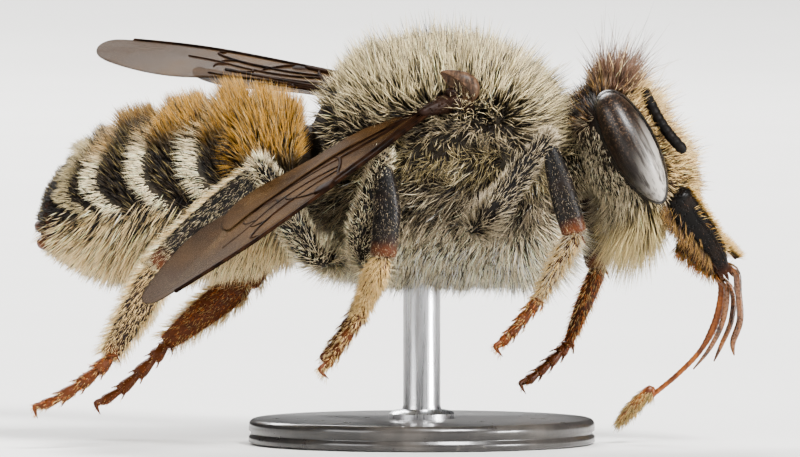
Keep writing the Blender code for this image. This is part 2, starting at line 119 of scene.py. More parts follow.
def meeting(first, second):
    """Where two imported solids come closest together."""
    near, far = node_points(first), node_points(second)
    gaps = np.linalg.norm(near[:, None] - far[None], axis=2)
    i, j = np.unravel_index(gaps.argmin(), gaps.shape)
    return (near[i] + far[j]) / 2


# ---- making closed shapes


def smooth_rows(rows, count):
    """That many rows, evenly spread along the smooth curve through the given ones."""
    rows = np.array(rows, float)
    last = len(rows) - 1
    places = np.linspace(0, last, count)
    index = np.minimum(places.astype(int), last - 1)
    t = (places - index)[:, None]
    a, b, c, d = (rows[np.clip(index + step, 0, last)] for step in (-1, 0, 1, 2))
    curve = (
        (-t + 2 * t**2 - t**3) * a
        + (2 - 5 * t**2 + 3 * t**3) * b
        + (t + 4 * t**2 - 3 * t**3) * c
        + (t**3 - t**2) * d
    )
    return curve / 2


def ring(bm, middle, along, aside, wide, tall, sides):
    """A closed oval of edges across a direction."""
    along = Vector(along).normalized()
    upright = along.cross(Vector(aside)).normalized()
    across = upright.cross(along)
    place = Matrix((across * wide, upright * tall, along)).transposed().to_4x4()
    place.translation = Vector(middle)
    verts = bmesh.ops.create_circle(bm, segments=sides, radius=1.0, matrix=place)["verts"]
    return list({edge for vert in verts for edge in vert.link_edges})


def close_rings(bm, rings):
    for near, far in zip(rings, rings[1:]):
        bmesh.ops.bridge_loops(bm, edges=near + far)
    for end in (rings[0], rings[-1]):
        bmesh.ops.contextual_create(bm, geom=end)


END_STEPS = ((0.0, 1.0), (0.35, 0.93), (0.65, 0.76), (0.87, 0.50), (0.97, 0.24))  # a half round


def tube(bm, points, wides, talls=None, sides=12, count=None, aside=SIDEWAYS, ends=(1.0, 1.0)):
    """A closed bent tube with rounded ends. Ends says how far each end bulges out."""
    talls = talls or wides
    rows = smooth_rows([(*p, w, t) for p, w, t in zip(points, wides, talls)], count or 3 * len(points))
    middles = [Vector(row[:3]) for row in rows]
    rings = []
    last = len(rows) - 1
    for index, row in enumerate(rows):
        along = middles[min(index + 1, last)] - middles[max(index - 1, 0)]
        rings.append((middles[index], along.normalized(), row[3], row[4]))
    start, end = rings[0], rings[-1]
    before, after = [], []
    for step, share in END_STEPS[1:]:
        reach = step * min(start[2], start[3]) * ends[0]
        before.insert(0, (start[0] - start[1] * reach, start[1], start[2] * share, start[3] * share))
        reach = step * min(end[2], end[3]) * ends[1]
        after.append((end[0] + end[1] * reach, end[1], end[2] * share, end[3] * share))
    made = [ring(bm, m, a, aside, w, t, sides) for m, a, w, t in before + rings + after]
    close_rings(bm, made)


def ball(bm, middle, half_sizes, sides):
    place = Matrix.Translation(Vector(middle)) @ Matrix.Diagonal((*half_sizes, 1.0))
    bmesh.ops.create_uvsphere(bm, u_segments=sides, v_segments=sides // 2, radius=1.0, matrix=place)


TURNED_SIDES = 96
MERGE_WITHIN = 1e-4


def turned(bm, profile, middle):
    """A profile of radius and height, spun about an upright axis through the middle."""
    verts = [bm.verts.new((radius, 0.0, height)) for radius, height in profile]
    edges = [bm.edges.new(pair) for pair in zip(verts, verts[1:])]
    whole = verts + edges
    bmesh.ops.spin(
        bm, geom=whole, cent=(0, 0, 0), axis=(0, 0, 1), angle=2 * math.pi, steps=TURNED_SIDES, use_merge=True
    )
    bmesh.ops.remove_doubles(bm, verts=bm.verts, dist=MERGE_WITHIN)
    bmesh.ops.translate(bm, vec=(middle.x, middle.y, 0.0), verts=bm.verts)


def mesh_of(name, bm):
    mesh = bpy.data.meshes.new(name)
    bm.to_mesh(mesh)
    bm.free()
    return mesh


def in_scene(name, data):
    """A new object in the scene."""
    made = bpy.data.objects.new(name, data)
    bpy.context.scene.collection.objects.link(made)
    return made


def piece_of(name, bm, finish, replaces=(), smooth=0):
    """Turns a mesh in millimetres into a piece of the bee, in its place."""
    bmesh.ops.recalc_face_normals(bm, faces=bm.faces)
    bmesh.ops.transform(bm, matrix=TO_WORLD, verts=bm.verts)
    return place_mesh(name, mesh_of(name, bm), finish, replaces, smooth)


def place_mesh(name, mesh, finish, replaces=(), smooth=0):
    """Puts a mesh in the scene as a piece of the bee. Smooth says how often its faces are divided."""
    mesh.shade_smooth()
    mesh.materials.append(finish)
    piece = in_scene(name, mesh)
    if smooth:
        rounded = piece.modifiers.new("rounded", "SUBSURF")
        rounded.levels = rounded.render_levels = smooth
    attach(piece, "root")
    if replaces:
        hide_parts(*replaces)
    return piece


def rows_of(items, key, kind=np.float32):
    """What three numbers each item holds under a key, as the rows of an array."""
    found = np.empty(len(items) * 3, kind)
    items.foreach_get(key, found)
    return found.reshape(-1, 3)


def corners_of(mesh):
    """A piece's corners, in millimetres."""
    return (rows_of(mesh.vertices, "co").astype(float) - np.array(ZERO)) / MM


def give_attribute(mesh, name, values, kind="FLOAT"):
    made = mesh.attributes.new(name, kind, "POINT")
    key = "vector" if kind == "FLOAT_VECTOR" else "value"
    made.data.foreach_set(key, np.ravel(values).astype(np.float32))


def give_rust(mesh, value):
    """The same red-brown all over a piece."""
    give_attribute(mesh, "rust", np.full(len(mesh.vertices), value))


# ---- materials


class Value:
    """A number or a vector on its way through a material. Sums on it add Math nodes."""

    def __init__(self, finish, socket):
        self.finish = finish
        self.socket = socket

    def math(self, operation, first, second):
        return self.finish.node("ShaderNodeMath", {"operation": operation}, {0: first, 1: second})

    def __add__(self, other):
        return self.math("ADD", self, other)

    def __sub__(self, other):
        return self.math("SUBTRACT", self, other)

    def __rsub__(self, other):
        return self.math("SUBTRACT", other, self)

    def __mul__(self, other):
        return self.math("MULTIPLY", self, other)

    __radd__ = __add__
    __rmul__ = __mul__

    def between(self, low, high):
        """Zero below low, one above high, and smooth between them."""
        settings = {"interpolation_type": "SMOOTHSTEP"}
        return self.finish.node("ShaderNodeMapRange", settings, {0: self, 1: low, 2: high})


class Finish:
    """A material with one Principled shader."""

    def __init__(self, name, **plain):
        self.material = bpy.data.materials.new(name)
        self.material.use_nodes = True
        self.tree = self.material.node_tree
        self.shader = self.tree.nodes["Principled BSDF"]
        for key, value in plain.items():
            self.shader.inputs[key.replace("_", " ").title().replace("Ior", "IOR")].default_value = value

    def node(self, kind, settings=None, values=None, output=0):
        """Any node, from its type, its settings, and what its sockets get."""
        made = self.tree.nodes.new(kind)
        for key, value in (settings or {}).items():
            setattr(made, key, value)
        for key, value in (values or {}).items():
            if isinstance(value, Value):
                self.tree.links.new(value.socket, made.inputs[key])
            else:
                made.inputs[key].default_value = value
        return Value(self, made.outputs[output])

    def set(self, socket, value):
        self.tree.links.new(value.socket, self.shader.inputs[socket])

    def place(self, scale=(1.0, 1.0, 1.0), turn=(0.0, 0.0, 0.0), middle=(0.0, 0.0, 0.0)):
        """Object coordinates in millimetres, turned about a middle and then stretched."""
        spot = self.node("ShaderNodeTexCoord", output="Object")
        shift = Vector(ZERO) + Vector(middle) * MM
        moved = self.node("ShaderNodeVectorMath", {"operation": "SUBTRACT"}, {0: spot, 1: tuple(shift)})
        turned = self.node("ShaderNodeMapping", None, {"Vector": moved, "Rotation": turn})
        grown = tuple(each / MM for each in scale)
        return self.node("ShaderNodeVectorMath", {"operation": "MULTIPLY"}, {0: turned, 1: grown})

    def noise(self, place, scale, detail=3.0, rough=0.5):
        values = {"Vector": place, "Scale": scale, "Detail": detail, "Roughness": rough}
        return self.node("ShaderNodeTexNoise", None, values)

    def cells(self, place, scale):
        """How far each place is from the middle of its cell."""
        return self.node("ShaderNodeTexVoronoi", None, {"Vector": place, "Scale": scale}, "Distance")

    def attribute(self, name, output="Fac"):
        return self.node("ShaderNodeAttribute", {"attribute_name": name}, None, output)

    def mix(self, share, first, second):
        settings = {"data_type": "RGBA", "clamp_factor": True}
        values = {0: share, 6: colour_of(first), 7: colour_of(second)}
        return self.node("ShaderNodeMix", settings, values, 2)

    def done(self, colour, roughness=None, height=None, depth=0.0):
        """The material, with its colour, roughness, and bumps of a depth in millimetres."""
        self.set("Base Color", colour)
        if roughness is not None:
            self.set("Roughness", roughness)
        if height is not None:
            self.set("Normal", self.node("ShaderNodeBump", None, {"Height": height, "Distance": depth * MM}))
        return self.material


def colour_of(value):
    return value if isinstance(value, Value) else (*value, 1.0)


BLACK_SHELL = (0.0055, 0.0048, 0.0044)
BROWN_SHELL = (0.013, 0.0085, 0.0062)
RUST_SHELL = (0.094, 0.028, 0.0085)


def shell_finish(name, pits=14.0, pit_depth=0.012, gloss=0.30, shine=0.21):
    """Pitted, shiny horn. The piece's attribute called rust says where it turns red-brown."""
    finish = Finish(name, specular_ior_level=shine)
    place = finish.place()
    mottle = finish.noise(place, 2.2, 4.0, 0.6)
    colour = finish.mix(mottle.between(0.42, 0.72), BLACK_SHELL, BROWN_SHELL)
    dark_rust, light_rust = (tuple(share * tone for tone in RUST_SHELL) for share in (0.45, 1.6))
    rust_tone = finish.mix(finish.noise(place, 4.0, 3.0), dark_rust, light_rust)
    colour = finish.mix(finish.attribute("rust"), colour, rust_tone)
    pit = finish.cells(place, pits).between(0.05, 0.42)
    grain = finish.noise(place, 60.0, 2.0)
    return finish.done(colour, grain * 0.25 + gloss - pit * 0.06, pit + grain * 0.15, pit_depth)


def skin_finish():
    """Black horn under the coat, tinged with the coat's own markings."""
    finish = Finish("body_shell", specular_ior_level=0.10)
    place = finish.place()
    tint = finish.attribute("markings", "Color")
    mottle = finish.noise(place, 1.6, 4.0, 0.6)
    colour = finish.mix(mottle.between(0.4, 0.75), BLACK_SHELL, BROWN_SHELL)
    colour = finish.mix(finish.noise(place, 7.0) * 0.06, colour, tint)
    colour = finish.mix(finish.attribute("rust"), colour, RUST_SHELL)
    pit = finish.cells(place, 15.0).between(0.05, 0.40)
    grain = finish.noise(place, 50.0, 2.0)
    return finish.done(colour, grain * 0.3 + 0.45, pit + grain * 0.1, 0.014)


def coat_finish():
    """Hair: a colour at each root, with a painted shade that darkens it where it leaves the skin and fades
    out towards its tip.
    """
    finish = Finish("coat", roughness=0.46, specular_ior_level=0.45)
    colour = finish.attribute("hair_colour", "Color")
    along = finish.attribute("along")
    # Painted shade: near-black at the root, fading into the hair's own colour along the strand.
    return finish.done(finish.mix(along.between(-0.06, 0.72), (0.010, 0.007, 0.005), colour))


def eye_finish(turn, middle):
    """Grey-brown facets with dark streaks down the eye, mottled at its top, and silvery low in front: partly
    the eye's own grey and partly a painted reflection.
    """
    finish = Finish("eye_facets", coat_weight=0.12, coat_roughness=0.20, specular_ior_level=0.30)
    place = finish.place((1.0, 1.0, 1.0), turn, middle)
    streaks = finish.noise(finish.place((8.0, 4.0, 0.50), turn, middle), 1.0, 4.0, 0.70)
    front, up = (finish.node("ShaderNodeSeparateXYZ", None, {0: place}, axis) for axis in "XZ")
    # Paler low in front and darker at the top: partly the facets' own silver-grey, partly a painted
    # reflection of the lamps.
    silver_and_painted_reflection = (front * 1.15 - up * 0.60).between(-0.10, 1.05)
    colour = finish.mix(silver_and_painted_reflection, (0.009, 0.006, 0.0045), (0.44, 0.41, 0.37))
    colour = finish.mix(streaks.between(0.42, 0.60) * 0.82, colour, (0.012, 0.008, 0.006))
    fine = finish.noise(place, 22.0, 3.0, 0.7)
    speckle = fine.between(0.52, 0.62) * (up * 0.8 - front * 0.3).between(-0.55, 0.85)
    colour = finish.mix(speckle * 0.85, colour, (0.110, 0.066, 0.040))
    facets = finish.cells(place, 30.0).between(0.0, 0.5)
    return finish.done(colour, finish.noise(place, 20.0) * 0.18 + 0.26, facets, 0.003)


def amber_finish(name, dark, light, roughness=0.25, varnish=0.3):
    """Glossy horn that looks half clear, streaked along the piece."""
    shine = min(0.5, varnish + 0.1)
    finish = Finish(name, coat_weight=varnish, coat_roughness=0.15, specular_ior_level=shine)
    place = finish.place((6.0, 6.0, 1.2))
    streak = finish.noise(place, 1.0, 4.0, 0.6)
    fine = finish.noise(finish.place(), 18.0, 3.0)
    colour = finish.mix((streak * 0.7 + fine * 0.3).between(0.36, 0.64), dark, light)
    return finish.done(colour, fine * 0.2 + roughness, fine, 0.006)


def membrane_finish():
    """Smoky brown wing skin, finely wrinkled and set with tiny hairs."""
    finish = Finish("wing_membrane", specular_ior_level=0.04)
    place = finish.place()
    cloud = finish.noise(place, 0.9, 4.0, 0.6)
    dots = finish.cells(place, 16.0).between(0.10, 0.28)
    colour = finish.mix(cloud.between(0.3, 0.7), (0.035, 0.018, 0.0075), (0.090, 0.050, 0.0215))
    colour = finish.mix(dots, (0.022, 0.011, 0.005), colour)
    edge = finish.attribute("edge")
    colour = finish.mix(edge, colour, (0.045, 0.026, 0.014))
    finish.set("Alpha", cloud * 0.14 + 0.80 - dots * 0.10 + edge * 0.08)
    wrinkle = finish.noise(finish.place((1.0, 1.0, 3.0)), 5.0, 4.0, 0.6)
    return finish.done(colour, cloud * 0.2 + 0.60, wrinkle - dots * 0.2, 0.020)


def vein_finish():
    finish = Finish("wing_veins", specular_ior_level=0.02)
    place = finish.place()
    tone = finish.noise(place, 3.0, 3.0)
    colour = finish.mix(tone.between(0.35, 0.65), (0.006, 0.003, 0.002), (0.022, 0.010, 0.005))
    return finish.done(colour, tone * 0.2 + 0.50, finish.noise(place, 30.0, 2.0), 0.006)


def base_finish():
    """Dark polished stone for the stand's foot."""
    finish = Finish("stand_stone", coat_weight=0.4, coat_roughness=0.08)
    place = finish.place()
    cloud = finish.noise(place, 0.5, 6.0, 0.62)
    vein = finish.noise(place, 1.7, 5.0, 0.7)
    colour = finish.mix(cloud.between(0.4, 0.7), (0.022, 0.020, 0.019), (0.070, 0.062, 0.055))
    colour = finish.mix(vein.between(0.60, 0.72) * 0.5, colour, (0.16, 0.14, 0.12))
    return finish.done(colour, vein * 0.15 + 0.22, finish.noise(place, 8.0, 3.0), 0.004)


def rod_finish():
    """Drawn steel, scored finely along its length."""
    finish = Finish("stand_rod_steel", metallic=1.0)
    score = finish.noise(finish.place((26.0, 26.0, 0.6)), 1.0, 3.0)
    colour = finish.mix(score, (0.44, 0.44, 0.45), (0.66, 0.66, 0.68))
    return finish.done(colour, score * 0.18 + 0.20, score, 0.003)


def floor_finish():
    finish = Finish("studio_floor", roughness=0.75, specular_ior_level=0.2)
    grain = finish.noise(finish.place((0.05, 0.05, 0.05)), 1.0, 4.0)
    return finish.done(finish.mix(grain, (0.74, 0.73, 0.71), (0.80, 0.79, 0.77)))


# ---- camera, light

VIEW_MIDDLE = Vector((0.235, 0.0, 4.605))
VIEW_WIDTH = 17.09
VIEW_RISE = math.radians(2.0)  # how high above level the camera looks from
LENS_MM = 600.0
SENSOR_MM = 36.0


def aim(obj, spot, target):
    obj.location = TO_WORLD @ Vector(spot)
    facing = (TO_WORLD @ Vector(target)) - obj.location
    obj.rotation_euler = facing.to_track_quat("-Z", "Y").to_euler()


def make_camera():
    data = bpy.data.cameras.new("camera")
    data.sensor_width, data.lens = SENSOR_MM, LENS_MM
    data.clip_start, data.clip_end = 0.01, 5.0
    camera = in_scene("camera", data)
    distance = VIEW_WIDTH * LENS_MM / SENSOR_MM
    away = Vector((0.0, -math.cos(VIEW_RISE), math.sin(VIEW_RISE))) * distance
    aim(camera, VIEW_MIDDLE + away, VIEW_MIDDLE)
    bpy.context.scene.camera = camera


# Studio lights: name, spot, wide, tall, watts.
LIGHTS = (
    ("key", (150.0, -300.0, 330.0), 150.0, 150.0, 3.9),
    ("fill", (-330.0, -260.0, 150.0), 260.0, 200.0, 1.0),
    ("face_side", (330.0, -190.0, 60.0), 110.0, 70.0, 1.5),
    ("back_rim", (-120.0, 330.0, 300.0), 300.0, 200.0, 3.6),
)
SUN_STRENGTH = 0.62
SUN_TURN = (math.radians(28.0), math.radians(12.0), 0.0)
SUN_ANGLE = math.radians(30.0)
WORLD_COLOUR = (0.90, 0.91, 0.93)
WORLD_STRENGTH = 0.08


def make_lights():
    for name, spot, wide, tall, watts in LIGHTS:
        data = bpy.data.lights.new(name, "AREA")
        data.shape, data.size, data.size_y = "RECTANGLE", wide * MM, tall * MM
        data.energy = watts
        aim(in_scene(name, data), spot, VIEW_MIDDLE)
    sun = bpy.data.lights.new("sun", "SUN")
    sun.energy, sun.angle = SUN_STRENGTH, SUN_ANGLE
    in_scene("sun", sun).rotation_euler = SUN_TURN
    world = bpy.data.worlds.new("studio")
    bpy.context.scene.world = world
    bpy.context.scene.view_settings.look = "AgX - Medium High Contrast"
    world.use_nodes = True
    sky = world.node_tree.nodes["Background"]
    sky.inputs["Color"].default_value = (*WORLD_COLOUR, 1.0)
    sky.inputs["Strength"].default_value = WORLD_STRENGTH


FLOOR_FLAT = 0.33  # in metres, as are the next two
FLOOR_RADIUS = 0.46
FLOOR_RISE = 0.006
FLOOR_SIDES = 48
FLOOR_RINGS = 8


def make_floor():
    """A flat round floor whose rim curves up a little, so that it has no far edge to see."""
    bm = bmesh.new()
    turns = [2 * math.pi * number / FLOOR_SIDES for number in range(FLOOR_SIDES)]
    rings = []
    for step in range(FLOOR_RINGS + 1):
        share = step / FLOOR_RINGS
        radius = FLOOR_FLAT + (FLOOR_RADIUS - FLOOR_FLAT) * share
        height = FLOOR_RISE * share**2
        spots = [(radius * math.cos(turn), radius * math.sin(turn), height) for turn in turns]
        rings.append([bm.verts.new(spot) for spot in spots])
    bm.faces.new(rings[0])
    for inner, outer in zip(rings, rings[1:]):
        for number in range(FLOOR_SIDES):
            after = (number + 1) % FLOOR_SIDES
            face = bm.faces.new((outer[number], outer[after], inner[after], inner[number]))
            face.smooth = True
    mesh = mesh_of("studio_floor", bm)
    mesh.materials.append(floor_finish())
    floor = in_scene("studio_floor", mesh)


# ---- skin

EYE_MIDDLES = {side: node_middle("eye_" + name) for side, name in SIDE_NAMES.items()}
HEAD_MIDDLE = (EYE_MIDDLES[RIGHT] + EYE_MIDDLES[LEFT]) / 2
EYE_AXES = sum(np.abs(long_axis("eye_" + name)) for name in SIDE_NAMES.values())
FACE_TILT = math.atan2(EYE_AXES[0], EYE_AXES[2])  # how far the mouth swings forward
HEAD_PLACE = Matrix.Translation(HEAD_MIDDLE) @ Matrix.Rotation(-FACE_TILT, 4, "Y")
EYE_OUT = abs(EYE_MIDDLES[LEFT].y)

# The thorax: forward, top, bottom, half width.
THORAX_SKIN = (
    (-1.66, 6.75, 4.60, 0.80),
    (-1.42, 7.25, 4.25, 1.25),
    (-0.90, 7.75, 3.98, 1.88),
    (-0.10, 8.02, 3.86, 2.28),
    (0.90, 8.18, 3.80, 2.42),
    (1.90, 8.14, 3.80, 2.38),
    (2.60, 7.85, 3.86, 2.12),
    (3.10, 7.35, 4.05, 1.68),
    (3.42, 6.75, 4.75, 1.00),
    (3.60, 6.40, 5.20, 0.62),
)
NECK_SKIN = (
    (3.20, 6.90, 4.90, 0.95),
    (3.60, 6.70, 5.20, 0.80),
    (4.10, 6.75, 5.35, 0.85),
    (4.60, 7.00, 5.60, 1.00),
)
WAIST_SKIN = (
    (-1.20, 7.10, 4.40, 1.10),
    (-1.62, 6.80, 4.70, 0.85),
    (-2.10, 6.95, 4.50, 1.15),
)

# The head: down the face, front, back, half width.
HEAD_SKIN = (
    (-1.42, 0.26, -0.14, 0.50),
    (-1.33, 0.50, -0.46, 1.25),
    (-1.08, 0.68, -0.74, 1.82),
    (-0.60, 0.80, -0.92, 2.06),
    (0.00, 0.86, -1.04, 2.12),
    (0.70, 0.90, -1.08, 2.00),
    (1.20, 0.88, -1.06, 1.66),
    (1.56, 0.70, -0.92, 1.22),
    (1.74, 0.34, -0.60, 0.62),
)
FACE_SQUARING = 0.16  # how much further forward the sides of the face come, so that it is flat
FACE_HALF_WIDTH, FACE_HALF_HEIGHT = 1.3, 1.2

# How deep the coat is over the abdomen: forward, above, below, beside.
ABDOMEN_COAT = (
    (-1.85, 0.42, 0.50, 0.30),
    (-2.60, 0.56, 0.56, 0.30),
    (-4.00, 0.52, 0.60, 0.30),
    (-5.20, 0.36, 0.58, 0.26),
    (-6.40, 0.28, 0.50, 0.22),
    (-7.00, 0.22, 0.34, 0.18),
    (-7.44, 0.16, 0.18, 0.14),
)
ABDOMEN_NODES = [f"abdomen_{number}" for number in range(1, 7)] + ["abdomen_tip"]
RIMS = [node_points(node)[:, 0].min() for node in ABDOMEN_NODES]  # each segment's hind edge
RIM_HEIGHT = 0.055
RIM_FRONT = -1.9  # where the first segment's rise to its rim begins
TAIL_RUST, TAIL_RUST_FROM, TAIL_RUST_OVER = 0.6, -7.18, 0.2  # how red-brown, from where, and over how far
SLICES = (0.2, 0.6, 0.95)  # where each segment of the abdomen is measured, in shares of its length
SKIN_CELL = 0.056
SKIN_SMOOTHING = 6
SKIN_SIDES = 48


def abdomen_rows():
    """The abdomen's skin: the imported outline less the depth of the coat."""
    depths = np.array(ABDOMEN_COAT)[::-1]
    rows = []
    for node in ABDOMEN_NODES:
        xs = node_points(node)[:, 0]
        for share in SLICES:
            x = xs.max() + (xs.min() - xs.max()) * share
            crossing = cut_through(node, (x, 0, 0), (1, 0, 0))
            low, high = crossing.min(0), crossing.max(0)
            above, below, beside = (np.interp(x, depths[:, 0], depths[:, column]) for column in (1, 2, 3))
            rows.append((x, high[2] - above, low[2] + below, high[1] - beside))
    return rows


def upright_loft(bm, rows, count):
    """A closed body through upright ovals: forward, top, bottom, half width."""
    rings = [
        ring(bm, (x, 0, (top + low) / 2), (1, 0, 0), SIDEWAYS, wide, (top - low) / 2, SKIN_SIDES)
        for x, top, low, wide in smooth_rows(rows, count)
    ]
    close_rings(bm, rings)


def head_loft(bm):
    """The head through level ovals, with a flattened face."""
    rings = []
    for down, front, back, wide in smooth_rows(HEAD_SKIN, 24):
        middle = ((front + back) / 2, 0, -down)
        rings.append(ring(bm, middle, (0, 0, -1), SIDEWAYS, wide, (front - back) / 2, SKIN_SIDES))
    close_rings(bm, rings)
    for vert in bm.verts:
        x, y, z = vert.co
        if x > 0 and abs(z) < FACE_HALF_HEIGHT:
            vert.co.x = x + FACE_SQUARING * (1 - math.exp(-((y / FACE_HALF_WIDTH) ** 4))) * x
    bmesh.ops.transform(bm, matrix=HEAD_PLACE, verts=bm.verts)


def welded(name, bm, cell, smoothing):
    """One closed mesh over the outsides of all the bodies in a bmesh, made of small even cells."""
    bmesh.ops.recalc_face_normals(bm, faces=bm.faces)
    whole = in_scene(name, mesh_of(name, bm))
    remesh = whole.modifiers.new("one_skin", "REMESH")
    remesh.mode, remesh.voxel_size = "VOXEL", cell
    smooth = whole.modifiers.new("evened", "SMOOTH")
    smooth.factor, smooth.iterations = 0.5, smoothing
    graph = bpy.context.evaluated_depsgraph_get()
    mesh = bpy.data.meshes.new_from_object(whole.evaluated_get(graph))
    bpy.data.objects.remove(whole)
    return mesh


def rim_rise(x):
    """How far the skin stands out: each segment rises to its hind rim, and the next one starts low."""
    rise = np.zeros(len(x))
    front = RIM_FRONT
    for back in RIMS[:-1]:
        inside = (x < front) & (x >= back)
        rise[inside] = RIM_HEIGHT * ((front - x[inside]) / (front - back)) ** 1.5
        front = back
    return rise


def make_skin():
    """Head, neck, thorax, waist and abdomen as one skin, with the rims of the segments on it."""
    bm = bmesh.new()
    head_loft(bm)
    for rows, count in ((THORAX_SKIN, 26), (NECK_SKIN, 8), (WAIST_SKIN, 8), (abdomen_rows(), 44)):
        upright_loft(bm, rows, count)
    mesh = welded("body_skin", bm, SKIN_CELL, SKIN_SMOOTHING)
    spots = rows_of(mesh.vertices, "co")
    spots += rows_of(mesh.vertex_normals, "vector") * rim_rise(bowed(spots))[:, None]
    give_attribute(mesh, "markings", coat_colour(spots), "FLOAT_VECTOR")
    give_attribute(mesh, "rust", np.clip((TAIL_RUST_FROM - spots[:, 0]) / TAIL_RUST_OVER, 0, TAIL_RUST))
    mesh.vertices.foreach_set("co", spots.ravel())
    mesh.transform(TO_WORLD)
    nodes = ["head", "neck", "thorax", "waist", *ABDOMEN_NODES]
    return place_mesh("body_skin", mesh, skin_finish(), nodes)


# ---- the coat's markings

CREAM = (0.46, 0.380, 0.218)
PALE_GREY = (0.44, 0.365, 0.245)
SIDE_GREY = (0.32, 0.255, 0.165)
WHITE = (0.88, 0.75, 0.50)
TAN = (0.36, 0.190, 0.030)
GOLD = (0.58, 0.40, 0.160)
STRAW = (0.70, 0.51, 0.255)
OLIVE = (0.28, 0.215, 0.080)
DARK = (0.014, 0.010, 0.008)
BROWN = (0.100, 0.048, 0.024)
FACE_CREAM = (0.54, 0.37, 0.145)
DISC_BROWN = (0.044, 0.029, 0.013)
BELLY_CREAM = (0.92, 0.78, 0.54)
BEARD = (0.62, 0.49, 0.25)
ORANGE = (0.44, 0.13, 0.022)
HONEY = (0.40, 0.235, 0.075)

ABDOMEN_LINE = np.array(sorted(abdomen_rows()))
THORAX_LINE = np.array(THORAX_SKIN)
ABDOMEN_START, THORAX_START = -1.70, -1.45
HEAD_INVERSE = np.array(HEAD_PLACE.inverted())


def ease(low, high, values):
    """Zero at low, one at high, and smooth between."""
    share = np.clip((np.asarray(values) - low) / (high - low), 0.0, 1.0)
    return share * share * (3 - 2 * share)


def blend(first, second, share):
    share = np.asarray(share)[:, None]
    return np.asarray(first) * (1 - share) + np.asarray(second) * share


def unit(vectors):
    return vectors / np.maximum(np.linalg.norm(vectors, axis=1, keepdims=True), 1e-9)


def head_measures(spots):
    """Forward out of the face, aside and up the face."""
    return spots @ HEAD_INVERSE[:3, :3].T + HEAD_INVERSE[:3, 3]


def height_share(spots, line):
    """From -1 at the belly to 1 at the back, along the trunk."""
    top, low = (np.interp(spots[:, 0], line[:, 0], line[:, column]) for column in (1, 2))
    return (2 * spots[:, 2] - top - low) / (top - low)


# Each segment's hind edge is an arc, seen from the side: furthest back at this height, and this much.
BOW_HIGH, BOW_HALF, BOW_DEPTH = 0.42, 0.42, 0.34
BOW_BACK = 0.06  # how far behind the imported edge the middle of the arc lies


def bowed(spots):
    """How far forward each place is, measured along the arcs of the segments."""
    high = height_share(spots, ABDOMEN_LINE)
    bow = np.clip(((high - BOW_HIGH) / BOW_HALF) ** 2, 0.0, 1.6)
    fade = ease(-2.2, -3.4, spots[:, 0])
    return spots[:, 0] + fade * (BOW_BACK - BOW_DEPTH * bow)


def segment_share(spots):
    """Which abdomen segment each place is on, and how far back on it."""
    x = bowed(spots)
    index = np.zeros(len(x), int)
    share = np.zeros(len(x))
    front = ABDOMEN_START
    for number, back in enumerate(RIMS):
        inside = (x < front) & (x >= back)
        index[inside] = number
        share[inside] = (front - x[inside]) / (front - back)
        front = back
    index[x < RIMS[-1]] = len(RIMS) - 1
    return index, share


# For each abdomen segment: the share of its height above which its disc is tan, and where the pale
# band along its hind rim begins.
TAN_ABOVE = np.array((0.22, 0.60, 0.70, 0.98, 1.30, 1.30, 1.30))
BAND_FROM = np.array((0.90, 0.63, 0.69, 0.67, 0.48, 0.30, 0.30))
BAND_TONES = np.array((TAN, WHITE, WHITE, WHITE, CREAM, DARK, DARK))
SCOPA_BELOW = -0.22


def band_share(index, share):
    """One on a segment's pale band, and zero in front of it."""
    return ease(BAND_FROM[index] - 0.05, BAND_FROM[index] + 0.05, share)


def abdomen_colour(spots):
    index, share = segment_share(spots)
    high = height_share(spots, ABDOMEN_LINE)
    above = TAN_ABOVE[index]
    disc = blend(np.tile(DARK, (len(spots), 1)), TAN, ease(above - 0.14, above + 0.10, high))
    band = band_share(index, share)
    tone = blend(BAND_TONES[index], TAN, 0.75 * ease(0.60, 0.88, high) * (index < 4))
    colour = blend(disc, tone, band)
    brush = ease(SCOPA_BELOW + 0.12, SCOPA_BELOW - 0.22, high) * ease(-7.30, -6.90, spots[:, 0])
    return blend(colour, STRAW, brush)


def thorax_colour(spots):
    high = height_share(spots, THORAX_LINE)
    colour = blend(np.tile(SIDE_GREY, (len(spots), 1)), CREAM, ease(0.30, 0.72, high))
    colour = blend(colour, OLIVE, 0.7 * ease(0.40, 0.15, high) * ease(-0.25, 0.0, high))
    return blend(colour, BELLY_CREAM, ease(-0.40, -0.75, high))


BEARD_FROM = (-0.95, -1.25)  # how far down the head the beard starts, and is full


def head_colour(spots):
    front, _, up = head_measures(spots).T
    colour = np.tile(PALE_GREY, (len(spots), 1))
    colour = blend(colour, FACE_CREAM, ease(0.05, 0.40, front))
    browed = np.maximum(ease(0.65, 0.95, up) * ease(0.75, 0.45, front), ease(0.85, 1.10, up))
    colour = blend(colour, BROWN, 0.95 * browed)
    colour = blend(colour, BEARD, ease(*BEARD_FROM, up) * ease(0.10, -0.25, front))
    return blend(colour, BROWN, 0.6 * ease(0.75, 0.95, front) * ease(-0.4, 0.6, up))


def coat_colour(spots):
    """The coat's colour at each place of the skin."""
    colour = thorax_colour(spots)
    behind = spots[:, 0] < (ABDOMEN_START + THORAX_START) / 2
    colour[behind] = abdomen_colour(spots[behind])
    ahead = spots[:, 0] > neck_line(spots)
    colour[ahead] = head_colour(spots[ahead])
    return colour


NECK_FORWARD, NECK_SLOPE, NECK_UP = 3.62, 0.14, 6.0


def neck_line(spots):
    """How far forward the thorax ends and the head begins."""
    return NECK_FORWARD + NECK_SLOPE * (spots[:, 2] - NECK_UP)


# ---- growing the coat


def surface_of(obj):
    """A piece's triangles: corners, and the way that the surface faces at each."""
    graph = bpy.context.evaluated_depsgraph_get()
    mesh = bpy.data.meshes.new_from_object(obj.evaluated_get(graph))
    mesh.calc_loop_triangles()
    found = SimpleNamespace(
        spots=corners_of(mesh),
        facing=rows_of(mesh.vertex_normals, "vector").astype(float),
        corners=rows_of(mesh.loop_triangles, "vertices", np.int32),
    )
    bpy.data.meshes.remove(mesh)
    return found


